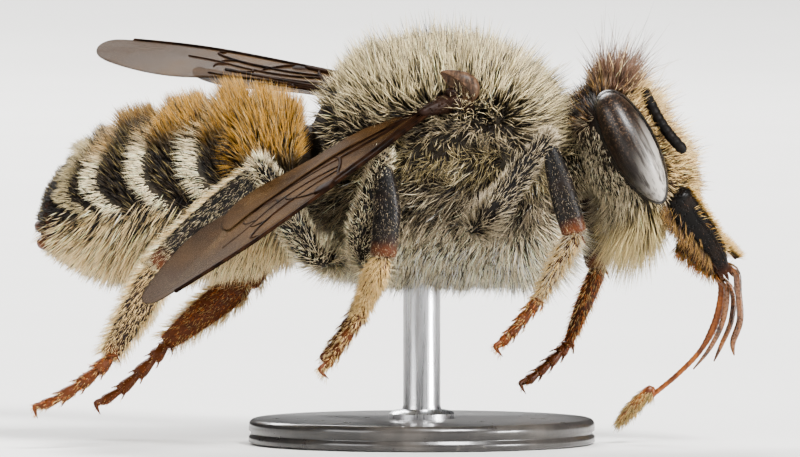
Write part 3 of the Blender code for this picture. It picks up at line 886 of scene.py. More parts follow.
def scatter(surface, wanted, density, rng):
    """Root places spread over a surface, as close as density (0 to 1) says."""
    a, b, c = (surface.spots[surface.corners[:, k]] for k in range(3))
    area = np.linalg.norm(np.cross(b - a, c - a), axis=1)
    middle = (a + b + c) / 3
    facing = unit(surface.facing[surface.corners].sum(1))
    weight = area * np.clip(density(middle, facing), 0, 1)
    chosen = rng.choice(len(area), wanted, p=weight / weight.sum())
    u, v = rng.random((2, wanted))
    folded = u + v > 1
    u[folded], v[folded] = 1 - u[folded], 1 - v[folded]
    shares = np.stack((1 - u - v, u, v), 1)[:, :, None]
    corners = surface.corners[chosen]
    roots = (surface.spots[corners] * shares).sum(1)
    return roots, unit((surface.facing[corners] * shares).sum(1))


DRIFT_WAVES = 7


def drift(spots, size, seed):
    """A smooth, random sideways pull that changes over about that many millimetres."""
    rng = np.random.default_rng(seed)
    pull = np.zeros((len(spots), 3))
    for _ in range(DRIFT_WAVES):
        wave = rng.normal(size=3) * 2 / size
        pull += np.sin(spots @ wave + rng.uniform(0, 2 * math.pi))[:, None] * rng.normal(size=3)
    return pull / 4


EMBED = 0.03  # how deep a strand's root sits
TAPER = (1.0, 0.72)  # how thick a strand is at each of its rings, before its tip
PATCH = 0.003  # how much of its map each strand takes
ROOT_STRIP = 0.08  # how much of that is its root face's


def strand_template():
    """The faces of one strand: corner numbers, face starts, and where each corner is on its patch."""
    rings = len(TAPER)
    faces = [[(0, (0.0, 0.0)), (2, (1.0, 0.0)), (1, (0.5, ROOT_STRIP))]]
    for level in range(rings):
        low, high = (ROOT_STRIP + (1 - ROOT_STRIP) * step / rings for step in (level, level + 1))
        for side in range(3):
            after = (side + 1) % 3
            left, right = side / 3, (side + 1) / 3
            face = [(3 * level + side, (left, low)), (3 * level + after, (right, low))]
            if level < rings - 1:
                face += [(3 * level + 3 + after, (right, high)), (3 * level + 3 + side, (left, high))]
            else:
                face += [(3 * rings, ((left + right) / 2, high))]
            faces.append(face)
    corners = np.array([number for face in faces for number, _ in face])
    spots = np.array([spot for face in faces for _, spot in face])
    starts = np.cumsum([0] + [len(face) for face in faces[:-1]])
    return corners, starts, spots


def strand_mesh(name, strands, rng):
    """Closed, three-sided, tapered strands in one mesh, each bent from its aim towards its bend."""
    rings = len(TAPER)
    count, per = len(strands.roots), 3 * rings + 1
    aim_way = unit(strands.aims)
    side = unit(np.cross(aim_way, rng.normal(size=(count, 3))))
    other = np.cross(aim_way, side)
    spots = np.empty((count, per, 3))
    along = np.empty((count, per))
    start = strands.roots - strands.facing * EMBED
    for level in range(rings + 1):
        t = level / rings
        middle = start + (aim_way * t + strands.bends * t * t) * strands.lengths[:, None]
        if level == rings:
            spots[:, -1], along[:, -1] = middle, 1.0
            break
        thick = strands.radii[:, None] * TAPER[level]
        for corner in range(3):
            angle = corner * 2 * math.pi / 3
            spots[:, 3 * level + corner] = middle + thick * (side * math.cos(angle) + other * math.sin(angle))
        along[:, 3 * level:3 * level + 3] = t
    corners, starts, on_patch = strand_template()
    order = np.arange(count)[:, None]
    mesh = bpy.data.meshes.new(name)
    mesh.vertices.add(count * per)
    mesh.vertices.foreach_set("co", (spots.reshape(-1, 3) * MM + np.array(ZERO)).ravel())
    mesh.loops.add(count * len(corners))
    mesh.loops.foreach_set("vertex_index", (corners + order * per).ravel().astype(np.int32))
    mesh.polygons.add(count * len(starts))
    mesh.polygons.foreach_set("loop_start", (starts + order * len(corners)).ravel().astype(np.int32))
    mesh.update(calc_edges=True)
    give_attribute(mesh, "hair_colour", np.repeat(strands.colours, per, axis=0), "FLOAT_VECTOR")
    # How far along each strand, which sets the painted shade at its root; raised where the roots get less of
    # that shade.
    give_attribute(mesh, "along", np.clip(along + strands.lit[:, None], 0, 1))
    bake = mesh.uv_layers.new(name="OFBake")
    on_map = strands.places[:, None] * (1 - PATCH) + on_patch * PATCH
    bake.uv.foreach_set("vector", on_map.ravel().astype(np.float32))
    return mesh


def patch(surface, count, density, style, unwrap):
    """How a surface is haired: how many strands, how close, of what look, and where on their map."""
    return SimpleNamespace(surface=surface, count=count, density=density, style=style, unwrap=unwrap)


def grow(name, patches, seed, finish):
    """One piece of coat, from one or more patches of skin."""
    rng = np.random.default_rng(seed)
    kinds = ("roots", "facing", "aims", "bends", "lengths", "radii", "colours", "lit", "places")
    found = {kind: [] for kind in kinds}
    for each in patches:
        roots, facing = scatter(each.surface, each.count, each.density, rng)
        look = each.style(roots, facing, rng)
        look.update(roots=roots, facing=facing, places=np.clip(each.unwrap(roots), 0, 1))
        for kind in kinds:
            found[kind].append(look[kind])
    strands = SimpleNamespace(**{kind: np.concatenate(found[kind]) for kind in kinds})
    place_mesh(name, strand_mesh(name, strands, rng), finish)


def look_of(aims, bends, lengths, radius, colours, rng, spread=0.15, shade=0.16, lit=0.0):
    """The strands' arrays, each strand a little longer, thicker, paler and more askew than the next."""
    count = len(aims)
    aims = unit(aims) + rng.normal(size=(count, 3)) * spread
    lengths = lengths * rng.uniform(0.72, 1.08, count)
    radii = np.full(count, radius) * rng.uniform(0.75, 1.2, count)
    tone = np.exp(rng.normal(size=(count, 1)) * shade)
    colours = np.clip(colours * tone, 0, 0.92)
    # how much of the painted shade at the roots is taken away
    lit = np.ones(count) * lit
    return {"aims": aims, "bends": bends, "lengths": lengths, "radii": radii, "colours": colours, "lit": lit}


def some(colours, other, chance, strength, rng):
    """The colours, some of them blended with another one by a strength."""
    return blend(colours, other, (rng.random(len(colours)) < chance) * strength)


def clumped(roots, lengths, size, pull, rng):
    """How each strand bends so that the tips of the few round about it come together."""
    centres = roots[rng.choice(len(roots), len(roots) // size, replace=False)]
    tree = KDTree(len(centres))
    for number, spot in enumerate(centres):
        tree.insert(spot, number)
    tree.balance()
    nearest = np.array([tree.find(spot)[0] for spot in roots])
    return (nearest - roots) * (pull / lengths)[:, None]


def trunk_unwrap(line, low, high):
    """A map of the trunk's skin slit along its belly: how far back, and how far round."""

    def unwrap(roots):
        top, bottom = (np.interp(roots[:, 0], line[:, 0], line[:, column]) for column in (1, 2))
        round_it = np.arctan2(roots[:, 1], roots[:, 2] - (top + bottom) / 2) / (2 * math.pi) + 0.5
        return np.stack(((roots[:, 0] - low) / (high - low), round_it), 1)

    return unwrap


def head_unwrap(roots):
    """A map of the head's skin slit down its back: how far round, and how far up."""
    front, aside, up = head_measures(roots).T
    return np.stack((np.arctan2(aside, front + 0.1) / (2 * math.pi) + 0.5, up / 3.4 + 0.5), 1)


# ---- the coat, part by part


EYE_HALVES = np.array((0.48, 0.55, 1.29))
EYE_FORWARD, EYE_RAISE = 0.13, 0.07  # how far the eye is moved towards the face, and up
EYE_LEAN = math.radians(6.0)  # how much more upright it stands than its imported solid
EYE_ROOM = 1.10  # how far out the bare skin round an eye reaches, in the eye's own sizes


def eye_swell(up):
    """How wide the eye is at each height, against a plain oval: wide at the top, narrow at the mouth."""
    return 1 + 0.05 * up + 0.16 * up * up * up


def in_eye(spots):
    """Whether places are inside an eye or its rim."""
    found = np.zeros(len(spots), bool)
    for side in SIDE_NAMES:
        back = np.array(eye_place(side).inverted())
        off = (spots @ back[:3, :3].T + back[:3, 3]) / EYE_HALVES
        off[:, 0] /= eye_swell(np.clip(off[:, 2], -1, 1))
        found |= np.linalg.norm(off, axis=1) < EYE_ROOM
    return found


def thorax_density(spots, facing):
    """Thick on the back and belly. Thin and patchy on the sides, and bare at the top of the waist."""
    high = height_share(spots, THORAX_LINE)
    on_it = (spots[:, 0] > THORAX_START + 0.06) & (spots[:, 0] < neck_line(spots))
    side = 0.62 + 0.38 * ease(0.25, 0.62, high) + 0.25 * ease(-0.45, -0.75, high)
    patchy = 0.90 + 0.50 * drift(spots, 0.45, 3)[:, 0]
    side = np.where(np.abs(high) < 0.5, side * np.clip(patchy, 0.50, 1), side)
    bare = ease(-0.75, -1.05, spots[:, 0]) * ease(6.2, 6.9, spots[:, 2])
    return side * on_it * (1 - 0.8 * bare)


def thorax_style(roots, facing, rng):
    """Long upright tufts on the back, tangled curls below them, then combed hair and a shaggy belly."""
    high = height_share(roots, THORAX_LINE)
    back, belly = ease(0.25, 0.70, high), ease(-0.40, -0.80, high)
    middle = 1 - np.maximum(back, belly)
    curly = middle * ease(-0.10, 0.15, high + 0.25 * drift(roots, 1.0, 8)[:, 0])
    combed = middle - curly
    rear = ease(-0.25, -1.05, roots[:, 0])
    fore = ease(2.3, 3.2, roots[:, 0])
    count = len(roots)
    lie = np.zeros((count, 3))
    lie[:, 0] = -0.20 * back - 0.30 * curly - 0.95 * combed - 0.55 * belly - 0.10 * rear
    lie[:, 0] += (0.75 + 0.9 * belly) * fore
    lie[:, 2] = 0.10 * back - 0.35 * curly - 0.62 * combed - 0.80 * belly
    lift = 1.25 * back + 0.70 * curly + 0.42 * combed + 0.75 * belly
    tangle = drift(roots, 0.60, 5) * (0.16 * back + 0.80 * curly + 0.42 * combed + 0.25 * belly)[:, None]
    tangle += drift(roots, 0.13, 6) * (0.42 * back + 0.66 * curly + 0.36 * combed + 0.30 * belly)[:, None]
    aims = facing * lift[:, None] + lie + tangle
    bends = drift(roots, 0.30, 7) * (0.10 * back + 0.55 * curly + 0.25 * combed + 0.2 * belly)[:, None]
    bends += rng.normal(size=(count, 3)) * (0.05 * back + 0.26 * middle + 0.10 * belly)[:, None]
    bends[:, 2] -= 0.25 * curly + 0.10 * belly
    lengths = 0.84 * back + 0.40 * curly + 0.52 * combed + (0.60 + 0.40 * fore) * belly
    lengths *= 1 - 0.42 * rear * ease(-0.2, 0.4, high)
    lengths *= 1 + 0.34 * (rng.random(count) < 0.12) * back
    bends += clumped(roots, lengths, 11, 0.90 * back + 0.50 * middle + 0.90 * belly, rng)
    colours = thorax_colour(roots)
    colours = some(colours, WHITE, 0.20, combed * 0.8, rng)
    colours = some(colours, CREAM, 0.25, curly * 0.8, rng)
    colours = some(colours, DARK, 0.34 * middle + 0.22 * back + 0.20 * belly, 1.0, rng)
    radius, shade = 0.0105 + 0.0025 * (back + belly), 0.30 + 0.12 * (back + belly)[:, None]
    return look_of(aims, bends, lengths, radius, colours, rng, 0.12, shade)


def abdomen_density(spots, facing):
    index, share = segment_share(spots)
    high = height_share(spots, ABDOMEN_LINE)
    on_it = (spots[:, 0] < ABDOMEN_START - 0.28) & (high > SCOPA_BELOW - 0.2)
    band = band_share(index, share)
    tan = ease(TAN_ABOVE[index] - 0.2, TAN_ABOVE[index], high)
    covered = (1 - band) * (1 - tan) * (index > 0) * (index < 5)
    gap = ease(0.16, 0.04, share) + ease(0.14, 0.04, BAND_FROM[index] - share)
    return on_it * (0.50 + 0.50 * np.maximum(band, tan)) * (1 - 0.75 * covered * np.clip(gap, 0, 1))


SEGMENT_FRONTS = np.array([ABDOMEN_START, *RIMS[:-1]])
FAN_HIGH = -0.30  # the height on each segment's front from which its dark hair fans out
PILE_LENGTHS = np.array((0.66, 0.56, 0.44, 0.38, 0.32, 0.26, 0.20))  # on each segment


def fan_from(spots, index):
    """The way from the low front of each place's segment, seen from the side."""
    front = SEGMENT_FRONTS[index]
    top, low = (np.interp(front, ABDOMEN_LINE[:, 0], ABDOMEN_LINE[:, column]) for column in (1, 2))
    centre = (top + low) / 2 + (top - low) / 2 * FAN_HIGH
    return unit(np.stack((spots[:, 0] - front - 0.1, np.zeros(len(spots)), spots[:, 2] - centre), 1))


def abdomen_style(roots, facing, rng):
    """Tan pile in front and on top, dark fans of hair on each segment's disc, and flat pale bands."""
    index, share = segment_share(roots)
    high = height_share(roots, ABDOMEN_LINE)
    count = len(roots)
    band = band_share(index, share)
    tan = ease(TAN_ABOVE[index] - 0.14, TAN_ABOVE[index] + 0.1, high)
    disc = 1 - band
    lie = fan_from(roots, index) * (0.80 * disc)[:, None]
    lie[:, 0] -= 0.95 * band + 0.10
    lie[:, 2] -= 0.35 * band * (high < 0.2)
    first = (index == 0) * disc
    lie[:, 0] += 0.35 * first
    lift = 0.55 * disc + 0.46 * band + 0.50 * tan * disc + 0.35 * ease(0.5, 0.9, high)
    aims = facing * lift[:, None] + lie + drift(roots, 0.30, 11) * 0.14 + drift(roots, 0.12, 12) * 0.10
    bends = rng.normal(size=(count, 3)) * 0.06
    bends[:, 0] -= 0.20 * disc + 0.08 * band
    bends[:, 2] -= 0.10 * band
    lengths = PILE_LENGTHS[index] * (1 - 0.25 * band) * (0.78 + 0.25 * tan)
    lengths = lengths + 0.20 * ease(0.45, 0.85, high) * (index > 0) * (index < 5)
    room = np.clip(BAND_FROM[index] - share, 0, 1) * (SEGMENT_FRONTS - RIMS)[index]
    low_disc = (disc > 0.5) & (tan < 0.5) & (high < 0.6)
    lengths = np.where(low_disc, np.minimum(lengths, 0.13 + 1.1 * room), lengths)
    colours = abdomen_colour(roots)
    # Some disc hairs turn olive or cream: partly golden hairs, partly painted highlights on the dark hair.
    gold_hair_and_painted_glint = rng.random(count) * disc * (1 - tan)
    colours = some(colours, DISC_BROWN, 0.55, disc * (1 - tan), rng)
    colours = blend(colours, OLIVE, (gold_hair_and_painted_glint > 0.84) * 0.8)
    colours = blend(colours, CREAM, (gold_hair_and_painted_glint > 0.975) * 0.8)
    colours = some(colours, CREAM, 0.15, tan * 0.6, rng)
    colours = some(colours, DARK, 0.20, tan, rng)
    bends += clumped(roots, lengths, 6, 0.25 + 0.35 * tan, rng)
    return look_of(aims, bends, lengths, 0.0108, colours, rng, 0.09, 0.18, 0.35 * band * (1 - tan))


def scopa_density(spots, facing):
    high = height_share(spots, ABDOMEN_LINE)
    on_it = (spots[:, 0] < ABDOMEN_START - 0.05) * ease(SCOPA_BELOW + 0.34, SCOPA_BELOW - 0.15, high)
    return on_it * (1 - 0.9 * ease(-7.0, -7.25, spots[:, 0]))


def scopa_style(roots, facing, rng):
    """The brush of long straight hair under the abdomen that carries pollen."""
    count = len(roots)
    high = height_share(roots, ABDOMEN_LINE)
    rear = ease(-5.6, -7.2, roots[:, 0])
    lie = np.zeros((count, 3))
    lie[:, 0] = -0.62 - 0.55 * rear
    lie[:, 2] = -0.95 + 0.35 * rear
    lift = 0.42 + 0.25 * ease(-0.6, -0.95, high)
    aims = facing * lift[:, None] + lie + drift(roots, 0.4, 15) * 0.16
    bends = rng.normal(size=(count, 3)) * 0.05
    lengths = (0.72 - 0.36 * rear) * (0.75 + 0.25 * ease(-0.1, -0.6, high))
    colours = blend(np.tile(STRAW, (count, 1)), WHITE, 0.65 * rng.random(count))
    colours = some(colours, DARK, 0.12 + 0.34 * ease(-0.70, -0.20, high), 1.0, rng)
    bends += clumped(roots, lengths, 5, 0.5, rng)
    return look_of(aims, bends, lengths, 0.0130, colours, rng, 0.08, 0.22, 0.40)


def head_density(spots, facing):
    front, aside, up = head_measures(spots).T
    on_it = (spots[:, 0] > neck_line(spots)) & ~in_eye(spots)
    cheek = ease(0.25, -0.05, front) * ease(0.20, 0.60, np.abs(aside))
    cheek = cheek * ease(1.2, 0.9, up) * ease(-1.1, -0.8, up)
    density = 0.45 + 0.55 * np.maximum(cheek, front > 0.12) - 0.25 * ease(0.85, 1.15, up)
    return on_it * (density - 0.35 * ease(-0.85, -1.15, up) * ease(0.1, 0.4, front))


def head_style(roots, facing, rng):
    """A shaggy face, a crown of tufts, a beard under the head and short flat hair on the cheeks."""
    front, aside, up = head_measures(roots).T
    count = len(roots)
    face = ease(0.10, 0.42, front)
    crown = ease(0.85, 1.12, up)
    beard = ease(*BEARD_FROM, up) * ease(0.00, -0.40, front)
    cheek = (1 - face) * ease(0.20, 0.60, np.abs(aside)) * (1 - beard) * (1 - crown)
    rest = np.clip(1 - face - crown - beard - cheek, 0, 1)
    throat = (1 - crown) * ease(-0.30, -0.70, front) * ease(-0.45, -0.85, up)
    fore_beard = ease(-0.35, 0.0, front)
    forward, leftward, upward = np.array(HEAD_PLACE.to_3x3()).T
    inward = -np.sign(aside) * ease(0.8, 1.5, np.abs(aside)) * face
    ahead = 0.45 * face + 0.10 * crown - 0.55 * beard - 0.6 * throat - 0.05 * cheek - 0.2 * rest
    upwards = -0.30 * face * ease(0.7, -0.4, up) + 0.30 * crown - 0.85 * beard - 0.85 * cheek
    lie = forward * ahead[:, None]
    lie += upward * upwards[:, None]
    lie += leftward * (0.35 * inward)[:, None]
    lie += drift(roots, 0.35, 21) * (0.20 + 0.15 * crown)[:, None] + drift(roots, 0.12, 22) * 0.14
    lift = 0.85 * face + 1.1 * crown + 0.45 * beard + 0.22 * cheek + 0.6 * rest
    into_skin = np.minimum((lie * facing).sum(axis=1), 0)
    aims = facing * lift[:, None] + lie - facing * into_skin[:, None]
    bends = rng.normal(size=(count, 3)) * (0.07 + 0.09 * face)[:, None]
    bends[:, 2] -= 0.14 * beard + 0.05 * face
    high_face = face * ease(0.0, 0.6, up)
    lengths = 0.42 * face + 0.16 * high_face + 0.33 * crown + (0.70 - 0.38 * fore_beard) * beard
    occiput = rest * ease(0.3, 0.8, up)
    lengths += 0.19 * cheek + 0.24 * rest + 0.14 * occiput + 0.40 * throat
    near_eye = ease(0.50, 0.05, np.abs(np.abs(aside) - EYE_OUT + 0.45)) * face
    lengths *= 1 - 0.50 * near_eye
    lengths *= 1 - 0.35 * ease(-0.7, -1.2, up) * face
    lengths *= 1 + 0.35 * (rng.random(count) < 0.12) * crown + 0.55 * (rng.random(count) < 0.14) * face
    bends += clumped(roots, lengths, 7, 0.45 * face + 0.60 * crown + 0.65 * beard, rng)
    colours = head_colour(roots)
    colours = some(colours, DARK, 0.68, crown, rng)
    colours = some(colours, TAN, 0.16, crown * 0.8, rng)
    colours = some(colours, BROWN, 0.40, face, rng)
    colours = some(colours, STRAW, 0.30, face, rng)
    colours = some(colours, BROWN, 0.85, ease(0.85, 1.05, up) * face, rng)
    colours = blend(colours, BEARD, throat * ease(-0.75, -1.05, up) * 0.8)
    colours = some(colours, DARK, 0.30, cheek, rng)
    colours = some(colours, WHITE, 0.40, cheek * 0.6, rng)
    colours = some(colours, GOLD, 0.70, beard * fore_beard, rng)
    return look_of(aims, bends, lengths, 0.0095, colours, rng, 0.13, 0.28, 0.6 * cheek)


def only(density, keep):
    """The same density, kept to part of the skin."""
    return lambda spots, facing: density(spots, facing) * keep(spots)


def without(density, part):
    """The same density, kept off part of the skin."""
    return only(density, lambda spots: ~part(spots))


BACK_ABOVE = 0.40  # the height on the thorax over which its hair is the back's
FACE_FROM = 0.12  # how far forward on the head its hair is the face's


def make_coat(skin, finish):
    """The coat of thorax, abdomen and head."""
    surface = surface_of(skin)
    thorax, abdomen = trunk_unwrap(THORAX_LINE, -1.7, 4.0), trunk_unwrap(ABDOMEN_LINE, -7.6, -1.6)

    def back(spots):
        return height_share(spots, THORAX_LINE) > BACK_ABOVE

    def flank(side):
        return lambda spots: ~back(spots) & (spots[:, 1] * side > 0)

    def fore(spots):
        return spots[:, 0] > RIMS[1]

    def face(spots):
        return head_measures(spots)[:, 0] > FACE_FROM

    rows = (
        ("thorax_back", "coat_cream", 13500, only(thorax_density, back), thorax_style, thorax, 31),
        ("thorax_right", "coat_cream", 17700, only(thorax_density, flank(RIGHT)), thorax_style, thorax, 32),
        ("thorax_left", "coat_cream", 12200, only(thorax_density, flank(LEFT)), thorax_style, thorax, 34),
        ("abdomen_front", "coat_tan", 10500, only(abdomen_density, fore), abdomen_style, abdomen, 41),
        ("abdomen_rear", "coat_banded", 12000, without(abdomen_density, fore), abdomen_style, abdomen, 42),
        ("scopa", "coat_cream", 10500, scopa_density, scopa_style, abdomen, 43),
        ("face", "coat_cream", 9500, only(head_density, face), head_style, head_unwrap, 51),
        ("head_back", "coat_cream", 9500, without(head_density, face), head_style, head_unwrap, 52),
    )
    for name, slot, count, density, style, unwrap, seed in rows:
        grow("coat_" + name, [patch(surface, count, density, style, unwrap)], seed, finish)


# ---- eyes, ocelli, feelers


def on_head(front, aside, down, side=LEFT):
    """A place on the head, from how far forward, aside and down the face it is."""
    return HEAD_PLACE @ Vector((front, side * aside, -down))


def eye_turn(side):
    """The eye's own axes: forward, outward and up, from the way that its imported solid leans."""
    up = Vector(long_axis("eye_" + SIDE_NAMES[side]))
    up = up if up.z > 0 else -up
    forward = (HEAD_PLACE.to_3x3() @ Vector((1, 0, 0))).normalized()
    out = up.cross(forward).normalized()
    return Matrix((out.cross(up), out, up)).transposed()


def eye_place(side):
    """Where an eye lies: its own axes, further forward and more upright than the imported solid's."""
    middle = EYE_MIDDLES[side] + Vector((EYE_FORWARD, 0, EYE_RAISE))
    return Matrix.Translation(middle) @ Matrix.Rotation(EYE_LEAN, 4, "Y") @ eye_turn(side).to_4x4()


def eye_ball(bm, side, halves, sides):
    """An egg-shaped ball in an eye's place."""
    ball(bm, (0, 0, 0), halves, sides)
    for vert in bm.verts:
        vert.co.x *= eye_swell(max(-1.0, min(1.0, vert.co.z / halves[2])))
    bmesh.ops.transform(bm, matrix=eye_place(side), verts=bm.verts)


EYE_RIM_SIZE = (1.13, 0.86, 1.05)  # the dark rim against the eye
EYE_RIM_IN = 0.16  # how far nearer the middle of the head it lies


def make_eyes(rim_finish):
    for side, name in SIDE_NAMES.items():
        bm = bmesh.new()
        eye_ball(bm, side, EYE_HALVES, 72)
        place = eye_place(side)
        angles = place.to_3x3().transposed().to_euler()
        finish = eye_finish(tuple(angles), tuple(place.translation))
        piece_of("eye_" + name + "_facets", bm, finish, ["eye_" + name])
        bm = bmesh.new()
        eye_ball(bm, side, EYE_HALVES * EYE_RIM_SIZE, 48)
        bmesh.ops.translate(bm, vec=(0, -side * EYE_RIM_IN, 0), verts=bm.verts)
        piece_of("eye_" + name + "_rim", bm, rim_finish)


OCELLI = ((0.66, 0.0, -1.13), (0.44, 0.34, -1.27), (0.44, -0.34, -1.27))
OCELLUS_RADIUS = 0.10


def make_ocelli():
    finish = amber_finish("ocellus_amber", (0.20, 0.05, 0.01), (0.62, 0.25, 0.07), 0.08)
    for number, spot in enumerate(OCELLI):
        bm = bmesh.new()
        ball(bm, on_head(*spot), (OCELLUS_RADIUS,) * 3, 32)
        piece_of(f"ocellus_{number}", bm, finish)


# The antennae: how far forward, aside and down the face.
SCAPE = ((0.78, 0.40, 0.08), (0.97, 0.58, -0.36), (1.02, 0.86, -0.78))
SCAPE_RADII = (0.095, 0.105, 0.125)
PEDICEL_RADII = (0.06, 0.085, 0.07)
FLAGELLUM = (
    (1.03, 1.00, -0.82),
    (0.98, 1.22, -0.48),
    (0.94, 1.44, -0.10),
    (0.95, 1.64, 0.28),
    (1.00, 1.80, 0.63),
)
FLAGELLUM_RADIUS = 0.120
FLAGELLUM_JOINTS = 10
JOINT_STATIONS = 6


def flagellum_radii(stations):
    """The outer length's thickness: a swelling for each joint, and thinner near the elbow."""
    radii = []
    for step in range(stations + 1):
        swell = abs(math.sin(math.pi * step / JOINT_STATIONS)) ** 0.35
        grown = min(1.0, 0.72 + 0.28 * step / (2 * JOINT_STATIONS))
        radii.append(FLAGELLUM_RADIUS * grown * (0.88 + 0.12 * swell))
    return radii


def make_antennae(finish):
    stations = FLAGELLUM_JOINTS * JOINT_STATIONS
    for side, name in SIDE_NAMES.items():
        elbow = on_head(*SCAPE[-1], side)
        course = [on_head(*spot, side) for spot in FLAGELLUM]
        bm = bmesh.new()
        tube(bm, [on_head(*spot, side) for spot in SCAPE], SCAPE_RADII, sides=16)
        pedicel = elbow + (course[0] - elbow) * 0.45
        tube(bm, [elbow, pedicel, course[0]], PEDICEL_RADII, sides=16)
        path = [Vector(row) for row in smooth_rows(course, stations + 1)]
        tube(bm, path, flagellum_radii(stations), sides=20, count=len(path))
        piece = piece_of("antenna_" + name + "_jointed", bm, finish, ["antenna_" + name])
        from_elbow = np.linalg.norm(corners_of(piece.data) - np.array(elbow), axis=1)
        give_attribute(piece.data, "rust", 0.35 * ease(0.20, 0.08, from_elbow))


# ---- mouthparts

MANDIBLE_BACK = Vector((-0.14, 0.0, 0.0))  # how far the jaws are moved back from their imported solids
MANDIBLE_DEPTHS = (0.31, 0.33, 0.27, 0.19, 0.11)
MANDIBLE_WIDTHS = (0.22, 0.20, 0.17, 0.14, 0.09)
MANDIBLE_SHARES = (0.04, 0.28, 0.52, 0.76, 0.96)
TEETH = ((-0.10, 0.16), (0.0, 0.22), (0.11, 0.17))  # how far across the tip, and how long
TOOTH_RADII = (0.06, 0.045, 0.012)
JAW_RIDGES = ((-0.15, 0.12, 0.92), (0.02, 0.20, 0.96), (0.17, 0.15, 0.90))  # how far across, start, end
RIDGE_RADII = (0.020, 0.032, 0.034, 0.034, 0.030, 0.014)


def add_teeth(bm, tip, along, across, side):
    for shift, reach in TEETH:
        root = tip + across * shift
        end = root + along * reach + Vector((0, -side * 0.06, 0))
        tube(bm, [root - along * 0.08, root.lerp(end, 0.5), end], TOOTH_RADII, sides=10)


def add_ridges(bm, course, across, side):
    """Low ridges that run down a jaw's outer face."""
    shares = np.linspace(0, 1, len(MANDIBLE_WIDTHS))
    for shift, start, stop in JAW_RIDGES:
        ridge = []
        for share in np.linspace(start, stop, len(RIDGE_RADII)):
            spot = Vector(smooth_rows(course, 21)[round(share * 20)])
            flank = float(np.interp(share, shares, MANDIBLE_WIDTHS)) * 0.90
            ridge.append(spot + across * shift * (1 - 0.55 * share) + Vector((0, side * flank, 0)))
        tube(bm, ridge, RIDGE_RADII, sides=8, count=16)


def make_mandibles(finish):
    """The two jaws, red-brown at the tip. Each is given back with the line down its middle."""
    made = []
    for side, name in SIDE_NAMES.items():
        cheek = on_head(0.2, 1.3, 1.2, side)
        course = [spot + MANDIBLE_BACK for spot in spine("mandible_" + name, MANDIBLE_SHARES, cheek)]
        along = (course[-1] - course[-2]).normalized()
        across = along.cross(SIDEWAYS).normalized()
        bm = bmesh.new()
        tube(bm, course, MANDIBLE_WIDTHS, MANDIBLE_DEPTHS, sides=24, count=20, ends=(0.5, 0.4))
        add_teeth(bm, course[-1], along, across, side)
        add_ridges(bm, course, across, side)
        piece = piece_of("mandible_" + name + "_jaw", bm, finish, ["mandible_" + name], 1)
        to_tip = (corners_of(piece.data) - np.array(course[-1])) @ np.array(along)
        give_attribute(piece.data, "rust", 0.45 * ease(-0.30, 0.10, to_tip))
        made.append(SimpleNamespace(piece=piece, line=np.array(course)[::-1]))
    return made


LIP_SHIFT = Vector((-0.06, 0.0, -0.26))  # how far the tip of the upper lip is moved along the jaws
STALK_UP = Vector((0.10, 0.0, 0.08))  # how far the stalk's start is moved up under the jaws
TONGUE_STATIONS = 90
GALEA_WIDTHS = (0.06, 0.05, 0.045, 0.04, 0.035, 0.012)
GALEA_DEPTHS = (0.085, 0.08, 0.075, 0.065, 0.055, 0.016)
PALP_WIDTHS = (0.05, 0.045, 0.04, 0.035, 0.012)
PALP_DEPTHS = (0.075, 0.065, 0.06, 0.05, 0.016)
PALP_CLOSENESS = {RIGHT: 0.72, LEFT: 0.35}  # how near each palp hangs to the tongue


def make_lip(finish):
    """The upper lip, a plate that hangs between the jaws."""
    lip = spine("labrum", (0.05, 0.35, 0.65, 0.95), on_head(0.8, 0, 1.2))
    lip = [spot + LIP_SHIFT * (step / 3) for step, spot in enumerate(lip)]
    bm = bmesh.new()
    tube(bm, lip, (0.40, 0.34, 0.20, 0.10), (0.07, 0.06, 0.05, 0.035), sides=20, count=14)
    plate = piece_of("labrum_plate", bm, finish, ["labrum"], 1)
    give_rust(plate.data, 0.12)
    return plate


def make_stalk(finish):
    """The stalk of the tongue, a thick rod with a thinner one on each side. Its line is given back too."""
    stalk = spine("mouthparts_base", (0.42, 0.60, 0.80, 0.97), on_head(-0.4, 0, 1.2))
    stalk = [spot + MANDIBLE_BACK * 0.4 + STALK_UP * (1 - step / 3) for step, spot in enumerate(stalk)]
    bm = bmesh.new()
    tube(bm, stalk, (0.28, 0.26, 0.22, 0.17), (0.14, 0.15, 0.14, 0.12), sides=20, count=14)
    for side in SIDE_NAMES:
        flank = [spot + Vector((0.02, side * (0.30 - 0.03 * step), 0)) for step, spot in enumerate(stalk)]
        tube(bm, flank, (0.10, 0.11, 0.10, 0.07), (0.12, 0.13, 0.12, 0.09), sides=14)
    base = piece_of("mouthparts_stalk", bm, finish, ["mouthparts_base"], 1)
    give_rust(base.data, 0.25)
    return base, stalk


def make_tongue(finish, root, course):
    """The tongue, ringed finely along its length, and the bud at its tip."""
    radii = []
    for step in range(TONGUE_STATIONS):
        thinner = 0.028 * float(ease(0.45, 0.6, step / TONGUE_STATIONS))
        radii.append((0.085 - thinner) * (0.96 + 0.06 * math.sin(step * 2.1)))
    path = [Vector(row) for row in smooth_rows([root, *course], TONGUE_STATIONS)]
    bm = bmesh.new()
    tube(bm, path, radii, sides=14, count=TONGUE_STATIONS)
    tongue = piece_of("tongue_rod", bm, finish, ["tongue"])
    bud = spine("tongue_tip", (0.0, 0.5, 0.95), course[-1])
    bm = bmesh.new()
    tube(bm, [course[-1], *bud], (0.06, 0.09, 0.135, 0.07), sides=16, count=14)
    return tongue, piece_of("tongue_bud", bm, finish, ["tongue_tip"])


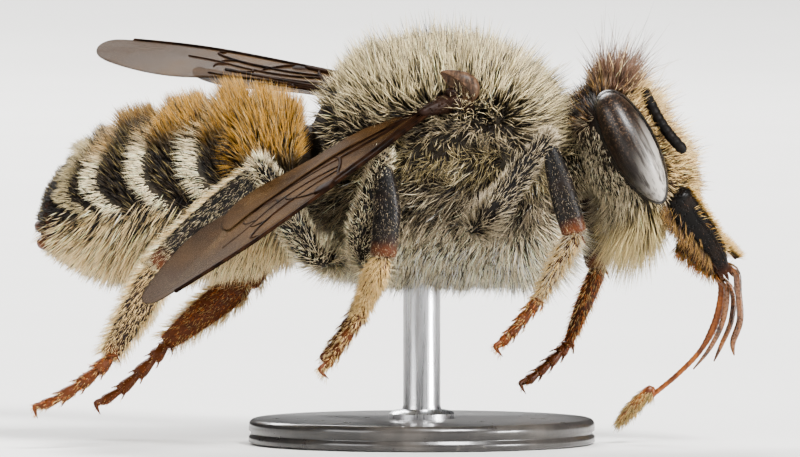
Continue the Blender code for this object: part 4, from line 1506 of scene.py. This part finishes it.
def make_sheath(finish, side, stalk, course):
    """The blade that sheathes one side of the tongue, and the palp that hangs beside it."""
    name = SIDE_NAMES[side]
    sheath = spine("galea_" + name, (0.02, 0.3, 0.6, 0.85, 0.99), stalk[-1])
    start = stalk[2] + Vector((0.12, side * 0.2, 0))
    bm = bmesh.new()
    tube(bm, [start, *sheath], GALEA_WIDTHS, GALEA_DEPTHS, sides=14, count=30)
    piece_of("galea_" + name + "_blade", bm, finish, ["galea_" + name])
    palp = [start.lerp(course[0], 0.5)]
    for step, spot in enumerate(course[:4]):
        beside = sheath[step + 1].lerp(spot, PALP_CLOSENESS[side])
        palp.append(Vector((beside.x, side * (0.20 - 0.03 * step), beside.z)))
    bm = bmesh.new()
    tube(bm, palp, PALP_WIDTHS, PALP_DEPTHS, sides=12, count=26)
    piece_of("palp_" + name, bm, finish)


def make_mouth(black, amber, pale):
    """Upper lip, the stalk of the tongue, the tongue itself and the sheaths and palps beside it."""
    plate = make_lip(black)
    base, stalk = make_stalk(black)
    course = spine("tongue", (0.02, 0.25, 0.5, 0.75, 0.98), stalk[-1])
    tongue, tip = make_tongue(amber, stalk[-1], course)
    for side in SIDE_NAMES:
        make_sheath(pale, side, stalk, course)
    return base, tongue, tip, plate


# ---- wings

WING_BASE_SHARE, WING_WIDEST = 0.30, 0.66
WING_TIP_BACK = 0.34
WING_SHORT = {RIGHT: 0.93, LEFT: 1.0}  # how long each wing is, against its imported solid
WING_TWIST = {RIGHT: -0.42, LEFT: 0.0}  # how far out of its plane the hind edge turns towards the tip
FORE_SHARE = 0.58  # the forewing's share of the joined width
HIND_ROOT, HIND_TIP = 0.06, 0.64
MEMBRANE_HALF = 0.010
HINDWING_DROP = 0.05  # how far below the forewing's hind edge it hangs
WING_SWEEP = {RIGHT: math.radians(44.8), LEFT: math.radians(46.0)}
WING_LIFT = {RIGHT: math.radians(-26.3), LEFT: math.radians(7.4)}
WING_ROLL = {RIGHT: math.radians(5.0), LEFT: math.radians(8.0)}


def wing_place(side):
    """A wing's axes and size: out along its straight front edge, back across it, out of its face."""
    sweep, lift, roll = WING_SWEEP[side], WING_LIFT[side], WING_ROLL[side]
    level = Vector((math.cos(sweep), side * math.sin(sweep), 0.0))
    outward = Vector((-math.sin(sweep), side * math.cos(sweep), 0.0))
    along = outward * math.cos(lift) + UPWARDS * math.sin(lift)
    rise = level.cross(along) * side
    back = -(level * math.cos(roll) + rise * math.sin(roll))
    out = along.cross(back)
    turn = Matrix((along, back, out)).transposed()
    off = node_points("forewing_" + SIDE_NAMES[side]) @ np.array(turn)
    hind = node_points("hindwing_" + SIDE_NAMES[side]) @ np.array(turn)
    low, high = off.min(0), off.max(0)
    root = turn @ Vector((low[0], low[1], (low[2] + high[2]) / 2))
    width = max(high[1], hind[:, 1].max()) - low[1]
    return Matrix.Translation(root) @ turn.to_4x4(), WING_SHORT[side] * float(high[0] - low[0]), float(width)


def joined_edges(share):
    """How far behind the front line the joined wings start and end, in widths."""
    share = min(max(share, 0.0), 1.0)
    if share < WING_WIDEST:
        back = WING_BASE_SHARE + (1 - WING_BASE_SHARE) * math.sin(math.pi / 2 * share / WING_WIDEST)
        return 0.012 * math.sin(math.pi * share / WING_WIDEST), back
    past = (share - WING_WIDEST) / (1 - WING_WIDEST)
    rounded = math.sqrt(max(0.0, 1 - past**2.4))
    return WING_TIP_BACK * (1 - rounded), WING_TIP_BACK + (1 - WING_TIP_BACK) * rounded


def fore_edges(share):
    front, back = joined_edges(share)
    wide = float(ease(0.28, 0.72, share))
    return front, back * (FORE_SHARE + (1 - FORE_SHARE) * wide)


def hind_edges(share):
    back = joined_edges(share)[1]
    front = back * (FORE_SHARE - 0.02)
    part = min(max((share - HIND_ROOT) / (HIND_TIP - HIND_ROOT), 0.0), 1.0)
    rounded = math.sqrt(max(0.0, 1 - part**3.0)) * math.sqrt(min(1.0, part * 8 + 0.2))
    return front, front + (back * 1.03 - front) * rounded


# Vein courses: share of the wing's length, then width behind the front line; and their thickness.
FORE_VEINS = (
    (((0.00, 0.040), (0.10, 0.030), (0.25, 0.028), (0.40, 0.030)), 0.036),
    (((0.00, 0.100), (0.10, 0.085), (0.25, 0.075), (0.37, 0.070), (0.42, 0.045)), 0.052),
    (((0.01, 0.150), (0.10, 0.200), (0.20, 0.270), (0.28, 0.320)), 0.042),
    (((0.00, 0.190), (0.10, 0.290), (0.20, 0.390), (0.30, 0.450), (0.42, 0.520), (0.54, 0.575)), 0.034),
    (((0.28, 0.320), (0.275, 0.380), (0.265, 0.435)), 0.026),
    (((0.28, 0.320), (0.31, 0.230), (0.35, 0.140), (0.37, 0.070)), 0.034),
    (((0.28, 0.320), (0.36, 0.395), (0.45, 0.480), (0.52, 0.520)), 0.024),
    (((0.32, 0.215), (0.40, 0.290), (0.48, 0.330), (0.56, 0.335), (0.66, 0.300), (0.74, 0.330)), 0.026),
    (((0.335, 0.170), (0.42, 0.200), (0.50, 0.205)), 0.026),
    (((0.46, 0.060), (0.485, 0.130), (0.50, 0.205)), 0.028),
    (((0.50, 0.205), (0.58, 0.195), (0.66, 0.150), (0.71, 0.085), (0.70, 0.040)), 0.030),
    (((0.50, 0.205), (0.505, 0.270), (0.49, 0.330)), 0.024),
    (((0.62, 0.175), (0.645, 0.240), (0.64, 0.305)), 0.024),
    (((0.52, 0.335), (0.50, 0.420), (0.52, 0.520)), 0.022),
    (((0.61, 0.315), (0.62, 0.420), (0.60, 0.520)), 0.022),
)
HIND_VEINS = (
    (((0.07, 0.02), (0.20, 0.03), (0.34, 0.05), (0.46, 0.10)), 0.030),
    (((0.08, 0.10), (0.20, 0.22), (0.32, 0.34), (0.46, 0.52), (0.56, 0.62)), 0.024),
    (((0.08, 0.18), (0.18, 0.45), (0.28, 0.62), (0.40, 0.80)), 0.022),
    (((0.32, 0.34), (0.31, 0.48), (0.29, 0.64)), 0.020),
)
VEIN_STATIONS = 14
VEIN_GROWTH = 1.65  # how much thicker the veins stand than listed
STIGMA = ((0.405, 0.040), (0.435, 0.052), (0.465, 0.045))
RIM_STATIONS = 24
RIM_RADIUS = 0.042


def wing_height(share, back, side):
    """The membrane's gentle pleats, and its twist towards the tip."""
    pleat = 0.05 * math.sin(back * 9.0 + share * 4.0) * float(ease(0.0, 0.25, share)) * (1 - 0.5 * share)
    return pleat - WING_TWIST[side] * back * float(ease(0.50, 1.0, share))


def make_membrane(name, side, edges, span, place, length, width, finish):
    """A wing's thin skin between its two edges, over a span of the wing's length."""
    sunk = HINDWING_DROP if name.startswith("hind") else 0.0
    bm = bmesh.new()
    bmesh.ops.create_grid(bm, x_segments=72, y_segments=16, size=0.5)
    for vert in bm.verts:
        share = span[0] + (span[1] - span[0]) * math.sin(math.pi / 2 * (vert.co.x + 0.5))
        front, back = edges(share)
        behind = front + (back - front) * (vert.co.y + 0.5)
        vert.co = (share * length, behind * width, wing_height(share, behind, side) - sunk)
    bm.normal_update()
    bmesh.ops.solidify(bm, geom=bm.faces[:], thickness=2 * MEMBRANE_HALF)
    bmesh.ops.transform(bm, matrix=place, verts=bm.verts)
    blade = piece_of(name + "_membrane", bm, finish, [name])
    spots = corners_of(blade.data) - np.array(place.translation)
    reach = spots @ np.array(place.to_3x3().col[0]) / length
    give_attribute(blade.data, "edge", ease(0.66, 0.92, reach))


def make_wing(side, kind, edges, span, veins, rim_end, membrane, vein):
    """A wing's skin, its veins with the thick rim along its front, and the forewing's dark spot."""
    place, length, width = wing_place(side)
    name = f"{kind}_{SIDE_NAMES[side]}"
    make_membrane(name, side, edges, span, place, length, width, membrane)

    def on_wing(share, behind):
        return place @ Vector((share * length, behind * width, wing_height(share, behind, side)))

    out = place.to_3x3().col[2]
    bm = bmesh.new()
    for course, thick in veins:
        path = []
        for share, behind in smooth_rows(course, VEIN_STATIONS):
            front, back = edges(share) if kind == "hindwing" else (0.0, 1.0)
            path.append(on_wing(share, front + (back - front) * behind))
        thinning = [1 - 0.25 * step / (len(path) - 1) for step in range(len(path))]
        radii = [VEIN_GROWTH * thick * each for each in thinning]
        tube(bm, path, radii, [radius * 0.8 for radius in radii], sides=8, count=2 * len(path), aside=out)
    rim = []
    for step in range(RIM_STATIONS):
        share = span[0] + (rim_end - span[0]) * step / (RIM_STATIONS - 1)
        rim.append(on_wing(share, edges(share)[0]))
    tube(bm, rim, [RIM_RADIUS] * RIM_STATIONS, sides=8, count=40)
    if kind == "forewing":
        path = [place @ Vector((share * length, behind * width, 0.0)) for share, behind in STIGMA]
        tube(bm, path, (0.08, 0.19, 0.09), (0.045, 0.05, 0.045), sides=12, aside=place.to_3x3().col[1])
    piece_of(name + "_veins", bm, vein)


TEGULA_HORN = Vector((-0.75, 0.0, 0.66))  # the way that the shell's upper corner points
TEGULA_HORNED = 0.45  # how far that corner is drawn out
TEGULA_SIZE = (1.2, 0.62, 1.2)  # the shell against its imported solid
TEGULA_WALL = 0.05
HINGE_LUMPS = (  # forward, out, up and size
    (0.10, 0.02, 0.08, 0.24),
    (-0.12, 0.10, -0.02, 0.19),
    (0.36, -0.02, 0.10, 0.24),
    (0.58, -0.10, 0.02, 0.20),
    (0.30, 0.02, 0.30, 0.16),
    (-0.32, 0.22, -0.10, 0.13),
)
HINGE_STEM = ((0.30, -0.5, 0.10), (0.10, 0.0, 0.04), (-0.30, 0.25, -0.10))  # forward, out and up


def make_wing_base(side, amber, black):
    """The scooped shell over the wing's hinge, and the small hard plates under it."""
    name = SIDE_NAMES[side]
    low, high = node_box("tegula_" + name)
    half = [size / 2 * growth for size, growth in zip(high - low, TEGULA_SIZE)]
    bm = bmesh.new()
    bmesh.ops.create_uvsphere(bm, u_segments=32, v_segments=20, radius=1.0)
    cut = Vector((-0.70, 0.35 * side, -0.62))
    bmesh.ops.bisect_plane(
        bm, geom=bm.verts[:] + bm.edges[:] + bm.faces[:], plane_co=cut * 0.12, plane_no=cut, clear_outer=True
    )
    for vert in bm.verts:
        horned = max(0.0, vert.co.normalized().dot(TEGULA_HORN)) ** 5
        vert.co += TEGULA_HORN * TEGULA_HORNED * horned
    bmesh.ops.scale(bm, vec=half, verts=bm.verts)
    bmesh.ops.translate(bm, vec=(low + high) / 2, verts=bm.verts)
    bmesh.ops.recalc_face_normals(bm, faces=bm.faces)
    bmesh.ops.solidify(bm, geom=bm.faces[:], thickness=TEGULA_WALL)
    piece_of("tegula_" + name + "_shell", bm, amber, ["tegula_" + name], 1)
    root = wing_place(side)[0].translation
    bm = bmesh.new()
    for forward, out, up, size in HINGE_LUMPS:
        ball(bm, root + Vector((forward, side * (out - 0.08), up)), (size, size * 0.8, size * 0.7), 16)
    stem = [root + Vector((forward, side * out, up)) for forward, out, up in HINGE_STEM]
    tube(bm, stem, (0.26, 0.20, 0.11), sides=12)
    piece = piece_of("wing_hinge_" + name, bm, black, (), 1)
    give_rust(piece.data, 0.12)


# ---- legs

BELLY = Vector((1.0, 0.0, 4.6))
LEG_DEPTHS = {  # thigh, shin and first foot joint, seen from the side
    "front": (0.27, 0.285, 0.19),
    "middle": (0.30, 0.300, 0.23),
    "hind": (0.30, 0.400, 0.33),
}
# How deep thigh, shin and first foot joint are at their stations, against their deepest.
LEG_TAPERS = ((0.72, 0.98, 1.0, 0.92, 0.62), (0.42, 0.84, 1.0, 0.94), (0.45, 0.95, 1.0, 0.80, 0.55))
LEG_PARTS = (  # each length's piece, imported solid, slot, how much redder its end is, and how smooth
    ("thigh", "femur", "shell_black", 0.0, 1),
    ("shin", "tibia", "shell_black", 0.75, 1),
    ("metatarsus", "basitarsus", "shell_red", 0.75, 1),
    ("foot", "tarsus", "shell_red", 0.75, 0),
)
LEG_WIDTHS = {"front": (0.21, 0.18, 0.13), "middle": (0.23, 0.19, 0.14), "hind": (0.24, 0.21, 0.15)}
ANKLE_DOWN = {"front": 0.0, "middle": 0.55, "hind": 0.0}  # how far the shin runs on into the first foot joint
THIGH_REACH = {"front": 0.62, "middle": 0.90, "hind": 0.80}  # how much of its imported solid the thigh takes
HIP_IN = {"front": 0.50, "middle": 0.35, "hind": 0.45}  # how far the hip sinks into the body
# How red-brown each length is: thigh, shin, first foot joint, foot.
LEG_RUST = {
    ("front", RIGHT): (0.0, 0.0, 0.35, 0.75),
    ("front", LEFT): (0.0, 0.10, 0.45, 1.00),
    ("middle", RIGHT): (0.0, 0.0, 0.45, 0.70),
    ("middle", LEFT): (0.0, 0.0, 0.45, 0.70),
    ("hind", RIGHT): (0.0, 0.0, 0.12, 0.85),
    ("hind", LEFT): (0.20, 0.45, 0.90, 1.00),
}
PAIRS = ("front", "middle", "hind")
TOE_RADIUS = {"front": 0.155, "middle": 0.160, "hind": 0.175}
TOE_SPINES = 6
SPURS = {  # at the shin's end: how far across it, and how long
    "front": ((0.35, 0.36),),
    "middle": ((0.35, 0.36),),
    "hind": ((-0.35, 0.42), (0.25, 0.36)),
}
BRISTLES = 7


def leg_piece(leg, number, bm, start, end):
    """One length of a leg, redder at its far end."""
    kind, node, slot, redder, smooth = LEG_PARTS[number]
    piece = piece_of(leg.name + kind, bm, leg.finish, [leg.name + node], smooth)
    way = np.array(end - start)
    share = (corners_of(piece.data) - np.array(start)) @ way / (way @ way)
    rust = leg.rusts[number] + redder * ease(0.84, 0.98, share)
    give_attribute(piece.data, "rust", np.clip(rust, 0, 1))
    return SimpleNamespace(piece=piece, start=start, end=end)


def leg_tube(leg, number, bm, line, sides, ends=(1.0, 1.0)):
    """One length of a leg, flattened from side to side."""
    depth, width = leg.depths[number], leg.widths[number]
    depths = [share * depth for share in LEG_TAPERS[number]]
    tube(bm, line, [width * each / depth for each in depths], depths, sides=sides, count=16, ends=ends)


def make_thigh(leg, knee):
    """Hip, thigh and the ball of the knee."""
    reach = THIGH_REACH[leg.pair]
    line = spine(leg.name + "femur", (0.07, 0.38 * reach, 0.70 * reach, reach), knee)[::-1]
    line[0] = line[0] + Vector((0, -leg.side * HIP_IN[leg.pair], 0))
    hip = line[0]
    inner = Vector((hip.x * 0.75 + BELLY.x * 0.25, hip.y - leg.side * 1.25, hip.z + 0.25))
    bm = bmesh.new()
    tube(bm, [inner, inner.lerp(hip, 0.6), hip], (0.42, 0.34, 0.24), sides=18, count=9)
    leg_tube(leg, 0, bm, [*line, knee], 18)
    ball(bm, knee, (0.50 * leg.depths[1],) * 3, 20)
    return leg_piece(leg, 0, bm, hip, knee)


def make_shin(leg, line):
    """The shin, with the spurs and the fan of bristles at its end."""
    depth, width = leg.depths[1], leg.widths[1]
    knee, ankle = line[0], line[-1]
    bm = bmesh.new()
    leg_tube(leg, 1, bm, line, 20, (1.0, 0.5))
    down = (ankle - line[-2]).normalized()
    forward = down.cross(Vector((0, leg.side, 0))).normalized() * leg.side
    for across, reach in SPURS[leg.pair]:
        root = ankle + forward * across * depth + Vector((0, -leg.side * width * 0.5, 0))
        tip = root + down * reach + forward * across * 0.18
        tube(bm, [root - down * 0.08, root.lerp(tip, 0.5), tip], (0.035, 0.026, 0.006), sides=8)
    for number in range(BRISTLES):
        angle = math.pi * (number - BRISTLES // 2) / 4.5
        aside = Vector((0, leg.side * math.cos(angle) * width * 0.8, 0))
        root = ankle + forward * math.sin(angle) * depth * 0.75 + aside
        tube(bm, [root - down * 0.06, root + down * 0.09], (0.022, 0.006), sides=6, count=3)
    return leg_piece(leg, 1, bm, knee, ankle)


def make_metatarsus(leg, line, ankle):
    """The long first foot joint."""
    runs_on = ANKLE_DOWN[leg.pair] > 0
    start, end = line[0].lerp(ankle, 1.0 if runs_on else 0.6), line[-1]
    first = start.lerp(line[2], 0.35) if runs_on else line[0]
    second = start.lerp(line[2], 0.70) if runs_on else line[1]
    bm = bmesh.new()
    leg_tube(leg, 2, bm, [start, first, second, line[2], end], 18, (1.0, 0.4))
    return leg_piece(leg, 2, bm, start, end)


def add_toe(bm, near, far, wide):
    """A small foot joint, with a ring of spines round its far end."""
    tube(bm, [near, near.lerp(far, 0.70), far], (0.080, wide, wide * 0.88), sides=14, ends=(1.0, 0.3))
    way = (far - near).normalized()
    level = way.cross(SIDEWAYS).normalized()
    for number in range(TOE_SPINES):
        angle = 2 * math.pi * (number + 0.5) / TOE_SPINES
        out = level * math.cos(angle) + way.cross(level) * math.sin(angle)
        root = near.lerp(far, 0.88) + out * wide * 0.8
        tube(bm, [root, root + way * 0.16 + out * 0.085], (0.024, 0.004), sides=6, count=3)


def add_claws(bm, near, far):
    """The last small foot joint and its two hooks."""
    tube(bm, [near, near.lerp(far, 0.8), far], (0.07, 0.115, 0.095), sides=16, count=18)
    way = (far - near).normalized()
    level = way.cross(SIDEWAYS).normalized()
    hook = level if level.z < 0 else -level
    for splay in (-1, 1):
        root = far + Vector((0, splay * 0.05, 0)) + level * splay * 0.035
        bend = root + way * 0.17 + Vector((0, splay * 0.09, 0)) - hook * 0.03
        tip = bend + way * 0.05 + hook * 0.21
        tube(bm, [root, bend, tip], (0.048, 0.036, 0.006), sides=12, count=16)


def make_foot(leg, start):
    """The small foot joints and the claws."""
    toes = smooth_rows([start, *spine(leg.name + "tarsus", (0.03, 0.3, 0.6, 0.86), start)], 6)
    toes = [Vector(row) for row in toes]
    bm = bmesh.new()
    for step, (near, far) in enumerate(zip(toes[:4], toes[1:5])):
        add_toe(bm, near, far, TOE_RADIUS[leg.pair] - 0.012 * step)
    add_claws(bm, toes[4], toes[5])
    return leg_piece(leg, 3, bm, toes[0], toes[5])


def make_leg(pair, side, finish):
    """A leg's four lengths, from the hip to the claws."""
    name = f"leg_{pair}_{SIDE_NAMES[side]}_"
    sizes = {"depths": LEG_DEPTHS[pair], "widths": LEG_WIDTHS[pair], "rusts": LEG_RUST[pair, side]}
    leg = SimpleNamespace(name=name, pair=pair, side=side, finish=finish, **sizes)
    at_ankle = meeting(name + "tibia", name + "basitarsus")
    shin = spine(name + "tibia", (0.03, 0.3, 0.65, 0.97), at_ankle)[::-1]
    foot = spine(name + "basitarsus", (0.02, 0.35, 0.7, 0.98), at_ankle)
    shin[-1] = shin[-1].lerp(foot[1], ANKLE_DOWN[pair])
    return [
        make_thigh(leg, shin[0]),
        make_shin(leg, shin),
        make_metatarsus(leg, foot, shin[-1]),
        make_foot(leg, foot[-1]),
    ]


# ---- tail and the stand

TAIL_LOBES = ((-0.06, 0.50, 0.20), (-0.10, 0.14, 0.19))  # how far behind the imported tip, up it, and size
TAIL_HALF_WIDTH = 0.34


def make_tail(finish):
    """Two red-brown lobes that stand out at the tip of the abdomen."""
    tip = node_box("abdomen_tip")[0]
    bm = bmesh.new()
    for back, up, size in TAIL_LOBES:
        ball(bm, (tip.x - back, 0.0, tip.z + up), (size, TAIL_HALF_WIDTH, size * 0.80), 24)
    piece = piece_of("tail_lobes", bm, finish, (), 1)
    give_rust(piece.data, 0.9)


BASE_ROUNDING = 0.14
BASE_ROUNDING_STEPS = 10
GROOVE = ((0.0, 0.18), (0.05, 0.22), (0.05, 0.26), (0.0, 0.30))  # how deep, and how high up the base
COLLAR = ((1.75, 0.0), (1.75, 0.10), (1.6, 0.16), (1.05, 0.20), (1.0, 0.30))  # in rod sizes, and how high
ROD_REACH = 0.75  # how far the rod goes up through the belly hair to the skin


def make_stand():
    """A round base with a groove about it, and a rod that rises from a small collar."""
    low, high = node_box("stand_base")
    radius, top = (high.x - low.x) / 2, high.z
    rounding = [
        (radius - BASE_ROUNDING * (1 - math.cos(a)), top - BASE_ROUNDING * (1 - math.sin(a)))
        for a in np.linspace(0, math.pi / 2, BASE_ROUNDING_STEPS)
    ]
    groove = [(radius - depth, height) for depth, height in GROOVE]
    bm = bmesh.new()
    foot = [(0.0, 0.0), (radius - 0.08, 0.0), (radius, 0.06)]
    turned(bm, [*foot, *groove, *rounding, (0.0, top)], (low + high) / 2)
    piece_of("stand_base_turned", bm, base_finish(), ["stand_base"])
    low, high = node_box("stand_rod")
    half, end = (high.x - low.x) / 2, high.z + ROD_REACH
    collar = [(half * size, top + height) for size, height in COLLAR]
    bm = bmesh.new()
    turned(bm, [(0.0, top), *collar, (half, end), (0.0, end)], (low + high) / 2)
    piece = piece_of("stand_rod_turned", bm, rod_finish(), ["stand_rod"])
    piece.data.set_sharp_from_angle(angle=math.radians(40))


# ---- hair on legs and mouth

LEG_LESS_ROOT_SHADE = 0.40  # how much less painted shade than the trunk's the roots of the leg hair get


def limb_unwrap(start, end, tile, tiles):
    """A limb's own band of the map: how far along it, and how far round."""
    way = np.array(end - start)

    def unwrap(roots):
        off = roots - np.array(start)
        share = np.clip(off @ way / (way @ way), 0, 1)
        around = unit(off - share[:, None] * way)
        flat = unit(np.cross(way, (0, 1, 0))[None])[0]
        turn = np.arctan2(around @ flat, around[:, 1]) / (2 * math.pi) + 0.5
        return np.stack((turn, (tile + 0.05 + 0.9 * share) / tiles), 1)

    return unwrap


def limb_style(start, end, length, colour, odd, odd_share, lift, radius, hip_growth):
    """Short hair that lies towards the limb's end, some of it of another colour."""
    way = np.array((end - start).normalized())

    def style(roots, facing, rng):
        count = len(roots)
        share = (roots - np.array(start)) @ way / (end - start).length
        longer = 1 + hip_growth * ease(0.45, 0.0, share)
        aims = facing * (lift + 0.5 * ease(0.14, 0.0, share))[:, None] + way + drift(roots, 0.2, 61) * 0.15
        bends = rng.normal(size=(count, 3)) * 0.06
        colours = some(np.tile(colour, (count, 1)), odd, odd_share, 1.0, rng)
        return look_of(aims, bends, length * longer, radius, colours, rng, 0.14, 0.16, LEG_LESS_ROOT_SHADE)

    return style


def everywhere(spots, facing):
    return np.ones(len(spots))


# Hair on each length of a leg: strands, length, colour, odd colour and its share, lift, radius.
LEG_COATS = {
    "front": (
        (3300, 0.27, PALE_GREY, DARK, 0.25, 0.60, 0.0080),
        (2100, 0.105, SIDE_GREY, DARK, 0.30, 0.50, 0.0065),
        (1500, 0.28, PALE_GREY, GOLD, 0.40, 0.75, 0.0075),
        (750, 0.15, GOLD, ORANGE, 0.5, 0.55, 0.0065),
    ),
    "middle": (
        (3900, 0.27, PALE_GREY, WHITE, 0.45, 0.80, 0.0090),
        (2400, 0.115, SIDE_GREY, DARK, 0.25, 0.50, 0.0065),
        (2200, 0.25, GOLD, STRAW, 0.50, 0.75, 0.0080),
        (900, 0.19, STRAW, GOLD, 0.5, 0.55, 0.0070),
    ),
    "hind": (
        (3300, 0.32, PALE_GREY, WHITE, 0.45, 0.85, 0.0085),
        (4000, 0.20, SIDE_GREY, CREAM, 0.50, 0.32, 0.0060),
        (2500, 0.21, STRAW, DARK, 0.25, 0.50, 0.0075),
        (850, 0.15, GOLD, ORANGE, 0.5, 0.55, 0.0065),
    ),
}
# Long hair on both edges of the shin and first foot joint, in the same terms.
FRINGES = {"hind": (750, 0.34, STRAW, WHITE, 0.40, 0.90, 0.0085)}
HIP_GROWTH = 1.2  # how much longer a thigh's hair is at the hip
RED_LEGS = (("front", LEFT), ("hind", LEFT))
LEG_SHARES = {RIGHT: 100, LEFT: 69}  # each side's strands, in hundredths of the table's


def reddened(row):
    """A red leg's hair: orange, shorter and thinner set."""
    count, length, _, _, _, lift, radius = row
    return count * 7 // 10, length * 0.75, ORANGE, GOLD, 0.45, lift, radius


def edge_of(part):
    """Thick on the upper and lower edges of a flattened limb, and nowhere else."""
    across = unit(np.cross(np.array(part.end - part.start), (0, 1, 0))[None])[0]
    return lambda spots, facing: np.abs(facing @ across) > 0.85


def limb_patch(part, row, side, tile, tiles, density=everywhere, hip_growth=0.0):
    count, length, colour, odd, odd_share, lift, radius = row
    style = limb_style(part.start, part.end, length, colour, odd, odd_share, lift, radius, hip_growth)
    place = limb_unwrap(part.start, part.end, tile, tiles)
    return patch(surface_of(part.piece), count * LEG_SHARES[side] // 100, density, style, place)


def thigh_patch(pair, side, parts):
    return limb_patch(
        parts[0], LEG_COATS[pair][0], side, PAIRS.index(pair), len(PAIRS), hip_growth=HIP_GROWTH
    )


def leg_patches(pair, side, parts):
    """The hair of shin, first foot joint and foot, after the fringes of the first two."""
    tile, tiles = PAIRS.index(pair) * len(parts), len(PAIRS) * len(parts)
    patches = []
    for number in (1, 2) if pair in FRINGES else ():
        part = parts[number]
        patches.append(limb_patch(part, FRINGES[pair], side, tile + number, tiles, edge_of(part)))
    for number in (1, 2, 3):
        row = LEG_COATS[pair][number]
        if (pair, side) in RED_LEGS and (pair, number) != ("front", 1):
            row = reddened(row)
        patches.append(limb_patch(parts[number], row, side, tile + number, tiles))
    return patches


def fringe_style(way, length, colour, spread, odd, odd_share=0.4):
    """Straight hair that all points one way, some of it of another colour."""
    way = np.array(Vector(way).normalized())

    def style(roots, facing, rng):
        count = len(roots)
        aims = way + facing * 0.35
        bends = np.tile((0, 0, -0.10), (count, 1)) + rng.normal(size=(count, 3)) * 0.05
        colours = some(np.tile(colour, (count, 1)), odd, odd_share, 1.0, rng)
        return look_of(aims, bends, np.full(count, length), 0.0085, colours, rng, spread, 0.2)

    return style


def box_unwrap(surface, tile, tiles):
    """A small piece's own strip of the map: how far forward on it, and how far up."""
    low, high = surface.spots.min(0), surface.spots.max(0)

    def unwrap(roots):
        share = (roots - low) / (high - low)
        return np.stack(((tile + share[:, 0]) / tiles, share[:, 2]), 1)

    return unwrap


def edge_of_jaw(line, way):
    """Thick along the front (1) or the back (-1) edge of a jaw, and nowhere else."""

    def density(spots, facing):
        off = (spots[:, 0] - np.interp(spots[:, 2], line[:, 2], line[:, 0])) * way
        return ease(0.14, 0.24, off) * (np.abs(facing[:, 1]) < 0.6)

    return density


def tip_way(tip):
    """The way that the tongue's bud points."""
    spots = corners_of(tip.data)
    return spots[spots[:, 2].argmin()] - spots[spots[:, 2].argmax()]


def jaw_patches(mandibles, turn):
    """Each jaw's fringe behind, its fringe in front, and the down all over it."""
    ways = ((-0.75, 0, -0.8), (0.15, 0, -1.0), (0.9, 0, -0.35))
    down_face, down_jaw, forward = (turn @ Vector(way) for way in ways)
    patches = []
    for number, jaw in enumerate(mandibles):
        surface = surface_of(jaw.piece)
        rows = (
            (460, edge_of_jaw(jaw.line, -1), fringe_style(down_face, 0.40, HONEY, 0.26, BROWN)),
            (330, edge_of_jaw(jaw.line, 1), fringe_style(forward, 0.23, GOLD, 0.28, TAN)),
            (220, everywhere, fringe_style(down_jaw, 0.08, BROWN, 0.10, DARK, 0.5)),
        )
        place = box_unwrap(surface, number, 4)
        patches += [patch(surface, count, density, style, place) for count, density, style in rows]
    return patches


def make_mouth_hair(mandibles, base, tongue, tip, plate, finish):
    turn = HEAD_PLACE.to_3x3()
    patches = jaw_patches(mandibles, turn)
    down_face, tuft = turn @ Vector((-0.75, 0, -0.8)), turn @ Vector((1.0, 0, 0.15))
    low_lip = corners_of(plate.data)[:, 2].min() + 0.55

    def at_tip(spots, facing):
        return ease(low_lip, low_lip - 0.30, spots[:, 2])

    rows = (
        (base, 520, 0.30, down_face, TAN, ORANGE, 0.26, everywhere),
        (tongue, 200, 0.05, (-0.3, 0, -1), TAN, ORANGE, 0.16, everywhere),
        (tip, 1100, 0.24, tip_way(tip), FACE_CREAM, OLIVE, 0.16, everywhere),
        (plate, 560, 0.28, tuft, GOLD, HONEY, 0.34, at_tip),
    )
    for number, (piece, count, length, way, colour, odd, spread, density) in enumerate(rows):
        surface = surface_of(piece)
        place = box_unwrap(surface, number + 4, 8)
        style = fringe_style(way, length, colour, spread, odd, 0.35)
        patches.append(patch(surface, count, density, style, place))
    grow("coat_mouth", patches, 71, finish)


# ---- the whole bee


def make_all():
    make_camera()
    make_lights()
    make_floor()
    skin = make_skin()
    black = shell_finish("black_shell")
    amber = amber_finish("amber_shell", (0.070, 0.018, 0.005), (0.24, 0.078, 0.018), 0.26, 0.20)
    pale = amber_finish("pale_shell", (0.020, 0.007, 0.002), (0.150, 0.055, 0.013), 0.18, 0.50)
    make_eyes(shell_finish("eye_rim_shell", pits=30.0, gloss=0.22, shine=0.6))
    make_ocelli()
    make_antennae(shell_finish("antenna_shell", pits=34.0, pit_depth=0.006, gloss=0.45, shine=0.15))
    mandibles = make_mandibles(shell_finish("jaw_shell", pits=13.0, pit_depth=0.016, gloss=0.24, shine=0.12))
    base, tongue, tip, plate = make_mouth(black, amber, pale)
    membrane, vein = membrane_finish(), vein_finish()
    horn = amber_finish("horn_shell", (0.024, 0.013, 0.007), (0.120, 0.068, 0.038), 0.42, 0.06)
    hinge = shell_finish("hinge_shell", pits=11.0, pit_depth=0.030, gloss=0.36, shine=0.12)
    for side in SIDE_NAMES:
        for kind, edges, span, veins, rim_end in (
            ("forewing", fore_edges, (0.0, 1.0), FORE_VEINS, 0.97),
            ("hindwing", hind_edges, (HIND_ROOT, HIND_TIP), HIND_VEINS, 0.55),
        ):
            make_wing(side, kind, edges, span, veins, rim_end, membrane, vein)
        make_wing_base(side, horn, hinge)
    legs = {(pair, side): make_leg(pair, side, black) for pair in PAIRS for side in SIDE_NAMES}
    make_tail(black)
    make_stand()
    hair = coat_finish()
    make_coat(skin, hair)
    for side, name in SIDE_NAMES.items():
        patches = [each for pair in PAIRS for each in leg_patches(pair, side, legs[pair, side])]
        grow("coat_legs_" + name, patches, 61 + side, hair)
        patches = [thigh_patch(pair, side, legs[pair, side]) for pair in PAIRS]
        grow("coat_thighs_" + name, patches, 81 + side, hair)
    make_mouth_hair(mandibles, base, tongue, tip, plate, hair)


make_all()
